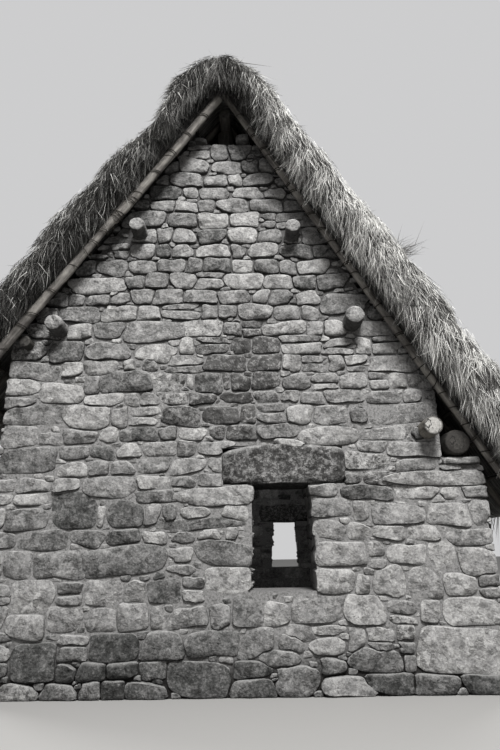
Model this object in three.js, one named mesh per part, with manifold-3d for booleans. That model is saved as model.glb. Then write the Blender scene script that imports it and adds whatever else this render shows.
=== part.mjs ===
// A thatched stone house: battered rubble walls, a log roof frame and a thick grass roof.
// Millimetres, +Z up. The origin is on the ground, at the middle of the roof's plan.
// The front gable is at -Y and the tall side wall, with the doorway, is at -X.
import * as THREE from "three";
import { mergeVertices } from "three/addons/utils/BufferGeometryUtils.js";
import Module from "manifold-3d";

const wasm = await Module();
wasm.setup();
const { degToRad, radToDeg, lerp } = THREE.MathUtils;

// Masonry
const HOUSE_WIDTH = 5840; // across the gable, at the ground
const HOUSE_LENGTH = 11000; // from gable face to gable face, at the ground
const GABLE_THICKNESS = 850;
const SIDE_THICKNESS = 800;
const GABLE_BATTER = degToRad(2); // how far the outer faces lean inwards
const SIDE_BATTER = degToRad(1);
const GABLE_TOP = 6980; // the gable stops short of the ridge and leaves a vent
const SEAM = 0.4; // the gap between pieces that touch
const COURSES = [
  190, 190, 300, 270, 300, 330, 200, 270, 150, 170, 200, 190, 190, 250, 180, 230,
  230, 240, 230, 220, 210, 230, 220, 220, 240, 240, 200, 200, 220, 230, 230,
]; // heights of the courses of stone, from the ground up
const BED_JOINT = { width: 24, depth: 35 }; // between two courses the mud is raked out this far

// Openings taper towards the head. A lintel's ends are measured from the middle of its opening
const FRONT_WINDOW = { centre: 485, sill: 1045, head: 2250, sillWidth: 790, headWidth: 680 };
const BACK_WINDOW = { centre: 1027, sill: 1045, head: 2250, sillWidth: 770, headWidth: 630 };
const DOOR = { centre: 0, sill: 0, head: 1780, sillWidth: 950, headWidth: 820 };
const WINDOW_LINTEL = { left: -690, right: 755, height: 435 };
const DOOR_LINTEL = { left: -820, right: 860, height: 330 };
const SILL_BED = { height: 12, inset: 8 }; // flat mud on a sill, just above the courses beside it

// Roof slopes, set by the centre lines of the rafters
const RIDGE = { x: -153.5, z: 7580 }; // where those lines cross
const LEFT = { side: -1, pitch: degToRad(53.6), length: 5404 };
const RIGHT = { side: 1, pitch: degToRad(58.8), length: 6648 };
const RAFTER_RADIUS = 60;
const PURLIN_RADIUS = 35;
const RAFTER_OVERRUN = 30; // how far a rafter passes the crossing
const RAFTER_BAYS = [-3300, 0, 3300];
const GABLE_RAKE = -10; // the gable's sloping top, from the rafter centre lines
const RAFTER_RELIEF = 25; // between a rafter and the shoulder of a side wall

// Logs. An overhang is measured from the gable face at the ground
const RIDGE_LOG = { radius: 80, overhang: -50 };
const LEFT_PLATE = { x: -2620, radius: 70, overhang: 30 };
const INNER_PLATE = { x: 2250, z: 2867, radius: 110, overhang: 180 };
const OUTER_PLATE = { x: 2560, radius: 150, overhang: 25 };
const LOW_SHOULDER = 2400; // where the right rake of the gable ends
const SEAT_STEP = 2385; // between the two levels of the low wall's top
const STUMP = { top: 105, foot: 125, setBack: 175 };

// Stone pegs, by where their axes meet the gable face
const PEGS = [
  { name: "upper_left", x: -1294, z: 5573, radius: 98 },
  { name: "upper_right", x: 718, z: 5518, radius: 98 },
  { name: "lower_left", x: -2258, z: 4222, radius: 108 },
  { name: "lower_right", x: 1438, z: 4269, radius: 120 },
];
const PEG_LENGTH = 700;
const PEG_REACH = 285; // how far a peg stands out of the wall
const PEG_TAPER = 0.96;

// Poles. The rake poles follow the gable's slopes, out from its face
const LEFT_RAKE_POLE = { radius: 70, out: 106 };
const RIGHT_RAKE_POLE = { radius: 55, out: -20 };
const SPLICE = { at: 2240, gap: 5 };
const LEFT_PURLINS = [1500, 3900]; // distances down the slope
const RIGHT_PURLINS = [1700, 4900];
const PURLIN_OVERHANG = 330;

// Thatch
const ROOF_HALF_WIDTH = 3800;
const VERGE = 430; // reach past the gable faces
const VERGE_ROUND = 90;
const CROWN = { x: -210, z: 7140, inner: 630, outer: 760 }; // the rounded top
const SOFFIT = 7650; // the underside passes level over the rafters' crossing
const LEFT_THATCH = { ...LEFT, thin: 330, thick: 430, courses: 4, first: 950 };
const RIGHT_THATCH = { ...RIGHT, thin: 430, thick: 520, courses: 5, first: 850 };

const SIDES = { log: 30, pole: 10, peg: 14, purlin: 8 };
const halfLength = HOUSE_LENGTH / 2;
const halfWidth = HOUSE_WIDTH / 2;

const paint = (color, roughness) => new THREE.MeshStandardMaterial({ color, roughness, metalness: 0 });
const fieldstone = () => paint(0x9b9891, 0.9);
const pegStone = () => paint(0xa8a59e, 0.85);
const barkedLog = () => paint(0x8a8070, 0.8);
const peeledPole = () => paint(0x9a917f, 0.75);
const straw = () => paint(0x7d776a, 1.0);

const house = new THREE.Group();

function addPiece(name, geometry, material) {
  const mesh = new THREE.Mesh(geometry, material);
  mesh.name = name;
  house.add(mesh);
  return mesh;
}

// Solids

// The same surface with only its positions, and with shared corners merged.
function merged(geometry) {
  const copy = geometry.clone();
  copy.deleteAttribute("normal");
  copy.deleteAttribute("uv");
  return mergeVertices(copy, 1e-3);
}

// Turns the faces of a closed surface outwards if a mirrored mapping left them inwards.
function facingOut(geometry) {
  const surface = merged(geometry);
  const { array } = surface.getAttribute("position");
  const index = surface.index.array;
  const corner = (i) => new THREE.Vector3().fromArray(array, 3 * index[i]);
  let volume = 0;
  for (let i = 0; i < index.length; i += 3) {
    volume += corner(i).dot(corner(i + 1).cross(corner(i + 2)));
  }
  if (volume < 0) index.reverse();
  return surface;
}

function solidOf(geometry) {
  const surface = merged(geometry);
  return new wasm.Manifold(
    new wasm.Mesh({
      numProp: 3,
      vertProperties: surface.getAttribute("position").array,
      triVerts: new Uint32Array(surface.index.array),
    }),
  );
}

function geometryOf(solid) {
  const mesh = solid.getMesh();
  return new THREE.BufferGeometry()
    .setAttribute("position", new THREE.BufferAttribute(mesh.vertProperties, 3))
    .setIndex(new THREE.BufferAttribute(mesh.triVerts, 1));
}

function cut(geometry, tools) {
  return geometryOf(tools.reduce((solid, tool) => solid.subtract(solidOf(tool)), solidOf(geometry)));
}

// An upright outline of [x, z] points, extruded along Y about the middle of the house.
function lengthwise(outline, length) {
  const shape = new THREE.Shape(outline.map(([x, z]) => new THREE.Vector2(x, z)));
  const geometry = new THREE.ExtrudeGeometry(shape, { depth: length, bevelEnabled: false });
  return geometry.rotateX(Math.PI / 2).translate(0, length / 2, 0);
}

// The bed joints between the courses: grooves that run round the outside of the house.
function bedJoints() {
  const core = new THREE.BoxGeometry(2, 2, GABLE_TOP).translate(0, 0, GABLE_TOP / 2);
  const position = core.getAttribute("position");
  for (let i = 0; i < position.count; i++) {
    const z = position.getZ(i);
    const x = halfWidth - BED_JOINT.depth - z * Math.tan(SIDE_BATTER);
    const y = halfLength - BED_JOINT.depth - z * Math.tan(GABLE_BATTER);
    position.setXY(i, position.getX(i) * x, position.getY(i) * y);
  }
  let height = 0;
  const slabs = COURSES.slice(0, -1).map((course) => {
    height += course;
    return new THREE.BoxGeometry(2 * HOUSE_WIDTH, 2 * HOUSE_LENGTH, BED_JOINT.width).translate(0, 0, height);
  });
  return geometryOf(slabs.map(solidOf).reduce((all, slab) => all.add(slab)).subtract(solidOf(core)));
}

const grooves = bedJoints();

// A round log along Y.
function log({ radius, x, z, overhang }, grow = 0) {
  const length = HOUSE_LENGTH + 2 * (overhang + grow);
  return new THREE.CylinderGeometry(radius + grow, radius + grow, length, SIDES.log).translate(x, 0, z);
}

// Slopes. On a slope, s runs down from the rafters' crossing and h stands square to the rafters

const onSlope = ({ side, pitch }, s, h) => [
  RIDGE.x + side * (s * Math.cos(pitch) + h * Math.sin(pitch)),
  RIDGE.z - s * Math.sin(pitch) + h * Math.cos(pitch),
];

const slopeZ = ({ side, pitch }, x, h) =>
  RIDGE.z + h / Math.cos(pitch) - side * (x - RIDGE.x) * Math.tan(pitch);

const slopeX = ({ side, pitch }, z, h) =>
  RIDGE.x + (side * (RIDGE.z + h / Math.cos(pitch) - z)) / Math.tan(pitch);

const plateDrop = (radius) => -(RAFTER_RADIUS + radius + SEAM);
const shoulderDrop = -(RAFTER_RADIUS + RAFTER_RELIEF);

// The wall plates that carry rafters lie just under them, and the ridge log touches both slopes.
LEFT_PLATE.z = slopeZ(LEFT, LEFT_PLATE.x, plateDrop(LEFT_PLATE.radius));
OUTER_PLATE.z = slopeZ(RIGHT, OUTER_PLATE.x, plateDrop(OUTER_PLATE.radius));
const ridgeDrop = plateDrop(RIDGE_LOG.radius);
RIDGE_LOG.x =
  RIDGE.x +
  (ridgeDrop / Math.cos(RIGHT.pitch) - ridgeDrop / Math.cos(LEFT.pitch)) /
    (Math.tan(LEFT.pitch) + Math.tan(RIGHT.pitch));
RIDGE_LOG.z = slopeZ(LEFT, RIDGE_LOG.x, ridgeDrop);

const seatOf = ({ z, radius }) => z - radius - SEAM;
const leftSeat = seatOf(LEFT_PLATE);
const innerSeat = seatOf(INNER_PLATE);
const outerSeat = seatOf(OUTER_PLATE);

// Walls

// Half width of a tapering opening at height z.
function halfOpening({ sill, head, sillWidth, headWidth }, z) {
  return lerp(sillWidth, headWidth, (z - sill) / (head - sill)) / 2;
}

// A block of wall from an outline of [along, height] points. The outer face leans inwards
// by the batter and the inner face is upright. place(along, depth, height) puts a point in the house.
function wallBlock(outline, thickness, batter, place) {
  const shape = new THREE.Shape(outline.map(([along, z]) => new THREE.Vector2(along, z)));
  const geometry = new THREE.ExtrudeGeometry(shape, { depth: thickness, bevelEnabled: false });
  const position = geometry.getAttribute("position");
  for (let i = 0; i < position.count; i++) {
    const z = position.getY(i);
    const depth = position.getZ(i) < thickness / 2 ? z * Math.tan(batter) : thickness;
    position.setXYZ(i, ...place(position.getX(i), depth, z));
  }
  return facingOut(geometry);
}

const leftEdge = (z) => -halfWidth + z * Math.tan(SIDE_BATTER);
const rightEdge = (z) => halfWidth - z * Math.tan(SIDE_BATTER);

// face is -1 for the front gable and 1 for the back one, here and below.
function pegShape(peg, face, grow = 0) {
  const tip = peg.radius * PEG_TAPER + grow;
  const length = PEG_LENGTH + 2 * grow;
  const geometry = new THREE.CylinderGeometry(tip, peg.radius + grow, length, SIDES.peg);
  const wallFace = halfLength - peg.z * Math.tan(GABLE_BATTER);
  geometry.translate(0, wallFace + PEG_REACH - PEG_LENGTH / 2, 0);
  if (face < 0) geometry.rotateZ(Math.PI);
  return geometry.translate(peg.x, 0, peg.z);
}

// A lintel's block, and the notch that the wall around it leaves, in outline order.
function lintelOutline(lintel, { centre, head }) {
  const left = centre + lintel.left;
  const right = centre + lintel.right;
  const top = head + lintel.height;
  return [[left, head], [right, head], [right, top], [left, top]];
}

function lintelNotch(lintel, { centre, head }) {
  const left = centre + lintel.left - SEAM;
  const right = centre + lintel.right + SEAM;
  const top = head + lintel.height + SEAM;
  return [[left, head], [left, top], [right, top], [right, head]];
}

function addGable(prefix, face, window) {
  const place = (along, depth, z) => [along, face * (halfLength - depth), z];
  const block = (outline) => wallBlock(outline, GABLE_THICKNESS, GABLE_BATTER, place);
  const add = (name, outline, tools = []) =>
    addPiece(`${prefix}_${name}`, cut(block(outline), [grooves, ...tools]), fieldstone());
  const { centre, sill, head } = window;
  const sillHalf = halfOpening(window, sill);
  const headHalf = halfOpening(window, head);
  add("wall_below_window", [
    [leftEdge(0), 0],
    [rightEdge(0), 0],
    [rightEdge(sill), sill],
    [centre + sillHalf - SEAM, sill],
    [centre + sillHalf - SILL_BED.inset, sill + SILL_BED.height],
    [centre - sillHalf + SILL_BED.inset, sill + SILL_BED.height],
    [centre - sillHalf + SEAM, sill],
    [leftEdge(sill), sill],
  ]);
  add("wall_left_of_window", [
    [leftEdge(sill), sill],
    [centre - sillHalf, sill],
    [centre - headHalf, head],
    [leftEdge(head), head],
  ]);
  add("wall_right_of_window", [
    [centre + sillHalf, sill],
    [rightEdge(sill), sill],
    [rightEdge(head), head],
    [centre + headHalf, head],
  ]);
  addPiece(`${prefix}_window_lintel`, block(lintelOutline(WINDOW_LINTEL, window)), fieldstone());
  const leftShoulder = slopeZ(LEFT, leftEdge(leftSeat), GABLE_RAKE);
  const upperWall = [
    [leftEdge(head), head],
    ...lintelNotch(WINDOW_LINTEL, window),
    [rightEdge(head), head],
    [rightEdge(outerSeat), outerSeat],
    [LOW_SHOULDER, outerSeat],
    [LOW_SHOULDER, slopeZ(RIGHT, LOW_SHOULDER, GABLE_RAKE)],
    [slopeX(RIGHT, GABLE_TOP, GABLE_RAKE), GABLE_TOP],
    [slopeX(LEFT, GABLE_TOP, GABLE_RAKE), GABLE_TOP],
    [leftEdge(leftShoulder), leftShoulder],
  ];
  const sockets = PEGS.map((peg) => pegShape(peg, face, SEAM));
  add("gable", upperWall, [log(LEFT_PLATE, SEAM), log(INNER_PLATE, SEAM), ...sockets]);
  PEGS.forEach((peg) => addPiece(`${prefix}_peg_${peg.name}`, pegShape(peg, face), pegStone()));

  // A stump on the gable's flat top carries the end of the ridge log.
  const height = seatOf(RIDGE_LOG) - GABLE_TOP;
  const stump = new THREE.CylinderGeometry(STUMP.top, STUMP.foot, height, SIDES.pole);
  stump.rotateX(Math.PI / 2);
  const wallFace = halfLength - GABLE_TOP * Math.tan(GABLE_BATTER);
  const mesh = addPiece(`${prefix}_ridge_stump`, stump, barkedLog());
  mesh.position.set(RIDGE_LOG.x, face * (wallFace - STUMP.setBack), GABLE_TOP + height / 2);
}

// The side walls butt against the inner faces of the gables.
const sideEnd = halfLength - GABLE_THICKNESS;
const innerFace = halfWidth - SIDE_THICKNESS;

function addDoorWall() {
  const place = (along, depth, z) => [depth - halfWidth, along, z];
  const block = (outline) => wallBlock(outline, SIDE_THICKNESS, SIDE_BATTER, place);
  const add = (name, outline, tools = []) =>
    addPiece(`left_${name}`, cut(block(outline), [grooves, ...tools]), fieldstone());
  const { centre, sill, head } = DOOR;
  const sillHalf = halfOpening(DOOR, sill);
  const headHalf = halfOpening(DOOR, head);
  add("wall_front_of_door", [
    [-sideEnd, sill],
    [centre - sillHalf, sill],
    [centre - headHalf, head],
    [-sideEnd, head],
  ]);
  add("wall_behind_door", [
    [centre + sillHalf, sill],
    [sideEnd, sill],
    [sideEnd, head],
    [centre + headHalf, head],
  ]);
  addPiece("left_door_lintel", block(lintelOutline(DOOR_LINTEL, DOOR)), fieldstone());

  // A wedge takes the outer top edge off, parallel to the rafters.
  const outside = -halfWidth - 100;
  const shoulder = LEFT_PLATE.x - LEFT_PLATE.radius - RAFTER_RELIEF;
  const overTop = leftSeat + 500;
  const wedge = [
    [outside, slopeZ(LEFT, outside, shoulderDrop)],
    [shoulder, slopeZ(LEFT, shoulder, shoulderDrop)],
    [shoulder, overTop],
    [outside, overTop],
  ];
  const upperWall = [
    [-sideEnd, head],
    ...lintelNotch(DOOR_LINTEL, DOOR),
    [sideEnd, head],
    [sideEnd, leftSeat],
    [-sideEnd, leftSeat],
  ];
  add("wall_over_door", upperWall, [lengthwise(wedge, HOUSE_LENGTH)]);
}

// The low wall's top has two levels, one for each of its plates.
function addLowWall() {
  const edgeTop = slopeZ(RIGHT, rightEdge(outerSeat), shoulderDrop);
  const outline = [
    [innerFace, 0],
    [halfWidth, 0],
    [rightEdge(edgeTop), edgeTop],
    [slopeX(RIGHT, outerSeat, shoulderDrop), outerSeat],
    [SEAT_STEP, outerSeat],
    [SEAT_STEP, innerSeat],
    [innerFace, innerSeat],
  ];
  addPiece("right_wall", cut(lengthwise(outline, 2 * sideEnd), [grooves]), fieldstone());
}

// Roof frame

// A straight round pole down a slope, from s0 to s1, with its upper side level with the rafters'.
function addSlopePole(name, slope, y, s0, s1, radius) {
  const h = RAFTER_RADIUS - radius;
  const [x0, z0] = onSlope(slope, s0, h);
  const [x1, z1] = onSlope(slope, s1, h);
  const top = new THREE.Vector3(x0, y, z0);
  const foot = new THREE.Vector3(x1, y, z1);
  const geometry = new THREE.CylinderGeometry(radius, radius, top.distanceTo(foot), SIDES.pole);
  const mesh = addPiece(name, geometry, peeledPole());
  const upslope = top.clone().sub(foot).normalize();
  const square = new THREE.Vector3(slope.side * Math.sin(slope.pitch), 0, Math.cos(slope.pitch));
  const across = upslope.clone().cross(square);
  mesh.setRotationFromMatrix(new THREE.Matrix4().makeBasis(across, upslope, square));
  mesh.position.copy(top.add(foot).multiplyScalar(0.5));
}

// The rafters of a pair pass each other side by side at the ridge.
function addRafters() {
  const beside = RAFTER_RADIUS + SEAM;
  RAFTER_BAYS.forEach((y, i) => {
    addSlopePole(`left_rafter_${i + 1}`, LEFT, y - beside, -RAFTER_OVERRUN, LEFT.length, RAFTER_RADIUS);
    addSlopePole(`right_rafter_${i + 1}`, RIGHT, y + beside, -RAFTER_OVERRUN, RIGHT.length, RAFTER_RADIUS);
  });
}

// The front left rake pole is in two lengths.
function addRakePoles() {
  const left = halfLength + LEFT_RAKE_POLE.out;
  const right = halfLength + RIGHT_RAKE_POLE.out;
  const { radius } = LEFT_RAKE_POLE;
  addSlopePole("front_left_rake_pole_upper", LEFT, -left, 0, SPLICE.at, radius);
  addSlopePole("front_left_rake_pole_lower", LEFT, -left, SPLICE.at + SPLICE.gap, LEFT.length, radius);
  addSlopePole("front_right_rake_pole", RIGHT, -right, 0, RIGHT.length, RIGHT_RAKE_POLE.radius);
  addSlopePole("back_left_rake_pole", LEFT, left, 0, LEFT.length, radius);
  addSlopePole("back_right_rake_pole", RIGHT, right, 0, RIGHT.length, RIGHT_RAKE_POLE.radius);
}

function addPurlins() {
  const h = RAFTER_RADIUS + PURLIN_RADIUS + SEAM;
  const length = HOUSE_LENGTH + 2 * PURLIN_OVERHANG;
  const add = (name, slope, s) => {
    const [x, z] = onSlope(slope, s, h);
    const geometry = new THREE.CylinderGeometry(PURLIN_RADIUS, PURLIN_RADIUS, length, SIDES.purlin);
    geometry.rotateY(slope.side * slope.pitch);
    addPiece(name, geometry, peeledPole()).position.set(x, 0, z);
  };
  LEFT_PURLINS.forEach((s, i) => add(`left_purlin_${i + 1}`, LEFT, s));
  RIGHT_PURLINS.forEach((s, i) => add(`right_purlin_${i + 1}`, RIGHT, s));
}

// Thatch

// Joins outlines of [x, z] points, one for each y, into a closed solid.
function loft(sections) {
  const flat = sections[0].outline.map(([x, z]) => new THREE.Vector2(x, z));
  if (THREE.ShapeUtils.isClockWise(flat)) {
    flat.reverse();
    sections.forEach(({ outline }) => outline.reverse());
  }
  const count = flat.length;
  const corners = sections.flatMap(({ y, outline }) => outline.flatMap(([x, z]) => [x, y, z]));
  const index = [];
  for (let row = 0; row + 1 < sections.length; row++) {
    for (let i = 0; i < count; i++) {
      const a = row * count + i;
      const b = row * count + ((i + 1) % count);
      index.push(a, b, a + count, b, b + count, a + count);
    }
  }
  const last = (sections.length - 1) * count;
  for (const [a, b, c] of THREE.ShapeUtils.triangulateShape(flat, [])) {
    index.push(a, c, b, last + a, last + b, last + c);
  }
  const geometry = new THREE.BufferGeometry()
    .setAttribute("position", new THREE.Float32BufferAttribute(corners, 3))
    .setIndex(index);
  return facingOut(geometry);
}

// Points on a circle about the crown's axis, between two angles from +X, in degrees.
function crownArc(radius, from, to, steps) {
  return Array.from({ length: steps + 1 }, (_, i) => {
    const angle = degToRad(lerp(from, to, i / steps));
    return [CROWN.x + radius * Math.cos(angle), CROWN.z + radius * Math.sin(angle)];
  });
}

// One slope of thatch, in courses that overlap downwards, each thickest at its foot.
// lower is how far its upper side drops at the verge.
function slopeOutline(thatch, lower) {
  const { side, pitch, thin, thick, courses, first } = thatch;
  const under = RAFTER_RADIUS + 2 * (PURLIN_RADIUS + SEAM);
  const outermost = ROOF_HALF_WIDTH - side * RIDGE.x;
  const end = (outermost - thick * Math.sin(pitch)) / Math.cos(pitch);
  const meeting = CROWN.x + side * SEAM;
  const eave = [
    onSlope(thatch, end - 80, under),
    onSlope(thatch, end + 10, under + 60),
    onSlope(thatch, end + 30, thick - 130 - lower),
  ];
  const step = (end - first) / courses;
  const surface = [];
  for (let i = courses; i > 0; i--) {
    surface.push(onSlope(thatch, first + i * step, thick - lower));
    surface.push(onSlope(thatch, first + (i - 1) * step + 40, thin - lower));
  }
  surface.push(onSlope(thatch, first, thin + 20 - lower));
  const meetingAngle = 90 - side * radToDeg(SEAM / CROWN.inner);
  const crown = crownArc(CROWN.inner, side < 0 ? 150 : 30, meetingAngle, 5);
  return [[meeting, SOFFIT], [slopeX(thatch, SOFFIT, under), SOFFIT], ...eave, ...surface, ...crown];
}

// The ridge cap lies over both slopes like a saddle.
function capOutline(lower) {
  return [
    ...crownArc(CROWN.inner + 1, 30, 150, 10),
    ...crownArc(CROWN.outer - lower / 2, 155, 25, 10),
  ];
}

// Both ends of a piece draw in at the verges.
function vergeSections(outlineFor) {
  const end = halfLength + VERGE;
  return [
    { y: -end, outline: outlineFor(VERGE_ROUND) },
    { y: -end + VERGE_ROUND, outline: outlineFor(0) },
    { y: end - VERGE_ROUND, outline: outlineFor(0) },
    { y: end, outline: outlineFor(VERGE_ROUND) },
  ];
}

function addThatch() {
  addPiece("left_thatch", loft(vergeSections((lower) => slopeOutline(LEFT_THATCH, lower))), straw());
  addPiece("right_thatch", loft(vergeSections((lower) => slopeOutline(RIGHT_THATCH, lower))), straw());
  addPiece("ridge_thatch", loft(vergeSections(capOutline)), straw());
}

addGable("front", -1, FRONT_WINDOW);
addGable("back", 1, BACK_WINDOW);
addDoorWall();
addLowWall();
addPiece("left_wall_plate", log(LEFT_PLATE), barkedLog());
addPiece("right_inner_wall_plate", log(INNER_PLATE), barkedLog());
addPiece("right_outer_wall_plate", log(OUTER_PLATE), barkedLog());
addPiece("ridge_log", log(RIDGE_LOG), barkedLog());
addRafters();
addRakePoles();
addPurlins();
addThatch();

export default house;
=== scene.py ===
import bpy
import bmesh
import math
import numpy as np
from mathutils import Matrix, Vector


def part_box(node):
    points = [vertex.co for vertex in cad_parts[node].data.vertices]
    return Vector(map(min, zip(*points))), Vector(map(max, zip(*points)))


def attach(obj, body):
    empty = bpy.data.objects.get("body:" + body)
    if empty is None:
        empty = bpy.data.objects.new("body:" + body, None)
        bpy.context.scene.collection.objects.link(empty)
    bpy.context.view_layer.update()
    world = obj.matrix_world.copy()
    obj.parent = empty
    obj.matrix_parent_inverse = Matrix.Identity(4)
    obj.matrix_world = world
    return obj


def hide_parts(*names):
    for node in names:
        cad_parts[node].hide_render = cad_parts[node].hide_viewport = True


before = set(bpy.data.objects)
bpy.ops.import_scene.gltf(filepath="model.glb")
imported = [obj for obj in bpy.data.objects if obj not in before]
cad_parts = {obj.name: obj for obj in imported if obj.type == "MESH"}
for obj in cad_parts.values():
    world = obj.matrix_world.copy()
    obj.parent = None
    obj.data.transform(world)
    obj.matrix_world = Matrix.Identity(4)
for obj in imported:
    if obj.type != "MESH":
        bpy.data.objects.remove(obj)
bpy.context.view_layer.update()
print("frame loaded:", len(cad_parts), "nodes")

# The house in metres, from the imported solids. +X is to the right, the front gable faces -Y, +Z is up
footLow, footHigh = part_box("front_wall_below_window")
coreDepth = 0.035  # how far the mud core lies behind the faces of the courses
house = {
    "halfWidth": footHigh.x - coreDepth,  # both measured to the core
    "halfLength": -footLow.y - coreDepth,
    "gableInner": -footHigh.y,
    "sideInner": -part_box("left_wall_front_of_door")[1].x,
    "gableTop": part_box("front_gable")[1].z,
    "gableBatter": math.tan(math.radians(2)),
    "sideBatter": math.tan(math.radians(1)),
}
# Roof slopes: s runs down a slope from where the rafters' centre lines cross, h stands square to it
ridge = {"x": -0.1535, "z": 7.58}
leftSlope = {"side": -1, "pitch": math.radians(53.6), "length": 5.404}
rightSlope = {"side": 1, "pitch": math.radians(58.8), "length": 6.648}


def onSlope(slope, s, h):  # x and z of a point on a slope
    c, n = math.cos(slope["pitch"]), math.sin(slope["pitch"])
    return ridge["x"] + slope["side"] * (s * c + h * n), ridge["z"] - s * n + h * c


# Numbers that look random but come out alike in each run


def latticeValue(ix, iy, iz, seed):  # a hash of three whole numbers, from 0 to 1
    n = ix * 374761393 + iy * 668265263 + iz * 1442695041 + seed * 1274126177
    n = (n ^ (n >> 13)) * 1274126177
    return ((n ^ (n >> 16)) & 0xFFFF) / 65535.0


def lumps(points, size, seed=0, octaves=2):
    # Value noise from -1 to 1: the hash at the corners of a grid of that size, blended smoothly, in octaves
    total, weight = 0.0, 0.0
    for octave in range(octaves):
        p = np.asarray(points, float) * (2 ** octave / size) + 17.3 * octave
        cell = np.floor(p).astype(np.int64)
        f = p - cell
        f = f * f * (3 - 2 * f)
        value = 0.0
        for corner in range(8):
            dx, dy, dz = corner & 1, (corner >> 1) & 1, corner >> 2
            w = np.where(dx, f[..., 0], 1 - f[..., 0]) * np.where(dy, f[..., 1], 1 - f[..., 1])
            w = w * np.where(dz, f[..., 2], 1 - f[..., 2])
            x, y, z = cell[..., 0] + dx, cell[..., 1] + dy, cell[..., 2] + dz
            value = value + w * latticeValue(x, y, z, seed + octave)
        share = 0.5 ** octave
        total, weight = total + share * (2 * value - 1), weight + share
    return total / weight


# Meshes


def makePiece(name, points, faces, material, values=None, smooth=True, sharp=None):
    # points is an array of places, faces a list of arrays of corner numbers. values maps a name to a number
    # or a vector for each point
    points = np.asarray(points, np.float32).reshape(-1, 3)
    loops = np.concatenate([f.ravel() for f in faces]).astype(np.int32)
    counts = np.concatenate([np.full(len(f), f.shape[1]) for f in faces])
    starts = np.concatenate([[0], np.cumsum(counts)[:-1]]).astype(np.int32)
    mesh = bpy.data.meshes.new(name)
    mesh.vertices.add(len(points))
    mesh.vertices.foreach_set("co", points.ravel())
    mesh.loops.add(len(loops))
    mesh.loops.foreach_set("vertex_index", loops)
    mesh.polygons.add(len(counts))
    mesh.polygons.foreach_set("loop_start", starts)
    mesh.update(calc_edges=True)
    for key, value in (values or {}).items():
        value = np.asarray(value, np.float32)
        isVector = value.ndim == 2
        layer = mesh.attributes.new(key, "FLOAT_VECTOR" if isVector else "FLOAT", "POINT")
        layer.data.foreach_set("vector" if isVector else "value", value.ravel())
    mesh.polygons.foreach_set("use_smooth", np.full(len(counts), smooth))
    if sharp:
        mesh.set_sharp_from_angle(angle=math.radians(sharp))
    mesh.materials.append(material)
    piece = bpy.data.objects.new(name, mesh)
    bpy.context.scene.collection.objects.link(piece)
    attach(piece, "root")
    return piece


def ringFaces(items, rings, around, first=0, turned=False):
    # Quads between neighbouring rings of many closed tubes, whose points are ordered by item, ring and angle
    item = np.arange(items)[:, None, None] * (rings * around)
    ring = np.arange(rings - 1)[None, :, None] * around
    a = np.arange(around)[None, None, :]
    b = (a + 1) % around
    quads = np.stack(np.broadcast_arrays(item + ring + a, item + ring + b,
                                         item + ring + around + b, item + ring + around + a), -1)
    quads = quads.reshape(-1, 4) + first
    return quads[:, ::-1] if turned else quads


def fanFaces(items, ringStart, stride, around, tips, turned=False):
    # Triangles from one ring of each item to that item's tip
    base = ringStart + np.arange(items)[:, None] * stride
    a = np.arange(around)[None, :]
    tris = np.stack(np.broadcast_arrays(base + a, base + (a + 1) % around, tips[:, None]), -1).reshape(-1, 3)
    return tris[:, ::-1] if turned else tris


# Materials


def linear(code):  # an sRGB hex value as linear red, green, blue and alpha
    parts = [int(code[i:i + 2], 16) / 255 for i in (1, 3, 5)]
    return tuple(p / 12.92 if p <= 0.04045 else ((p + 0.055) / 1.055) ** 2.4 for p in parts) + (1.0,)


def addNode(tree, kind, settings=None, inputs=(), output=0):
    # Adds one shader node and returns one of its outputs. settings gives its properties, and a ramp's stops
    # as pairs of a place and an sRGB hex value. inputs holds values or other nodes' outputs, in order or by
    # key
    node = tree.nodes.new("ShaderNode" + kind)
    for key, value in (settings or {}).items():
        if key != "stops":
            setattr(node, key, value)
            continue
        elements = node.color_ramp.elements
        while len(elements) < len(value):
            elements.new(0.5)
        for element, (place, code) in zip(elements, value):
            element.position = place
            element.color = linear(code)
    for key, value in inputs.items() if isinstance(inputs, dict) else enumerate(inputs):
        if isinstance(value, bpy.types.NodeSocket):
            tree.links.new(value, node.inputs[key])
        else:
            node.inputs[key].default_value = value
    return node.outputs[output]


# Settings that many nodes share
plus = {"operation": "ADD"}
minus = {"operation": "SUBTRACT"}
times = {"operation": "MULTIPLY"}
timesPlus = {"operation": "MULTIPLY_ADD"}
blend = {"data_type": "RGBA", "blend_type": "MIX"}
darken = {"data_type": "RGBA", "blend_type": "MULTIPLY"}
softStep = {"interpolation_type": "SMOOTHSTEP"}


def startMaterial(name, roughness, specular):
    material = bpy.data.materials.new(name)
    material.use_nodes = True
    tree = material.node_tree
    shader = tree.nodes["Principled BSDF"]
    shader.inputs["Roughness"].default_value = roughness
    shader.inputs["Specular IOR Level"].default_value = specular
    return material, tree, shader


def addPattern(tree, place, millimetres, detail, roughness=0.6, stretch=(1, 1, 1), turn=(0, 0, 0)):
    # Noise whose lumps are about this wide, read at a place that goes through a Mapping node
    mapped = addNode(tree, "Mapping", None, {"Vector": place, "Scale": stretch, "Rotation": turn})
    values = {"Vector": mapped, "Scale": 1000 / millimetres, "Detail": detail, "Roughness": roughness}
    return addNode(tree, "TexNoise", None, values, "Fac")


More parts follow.
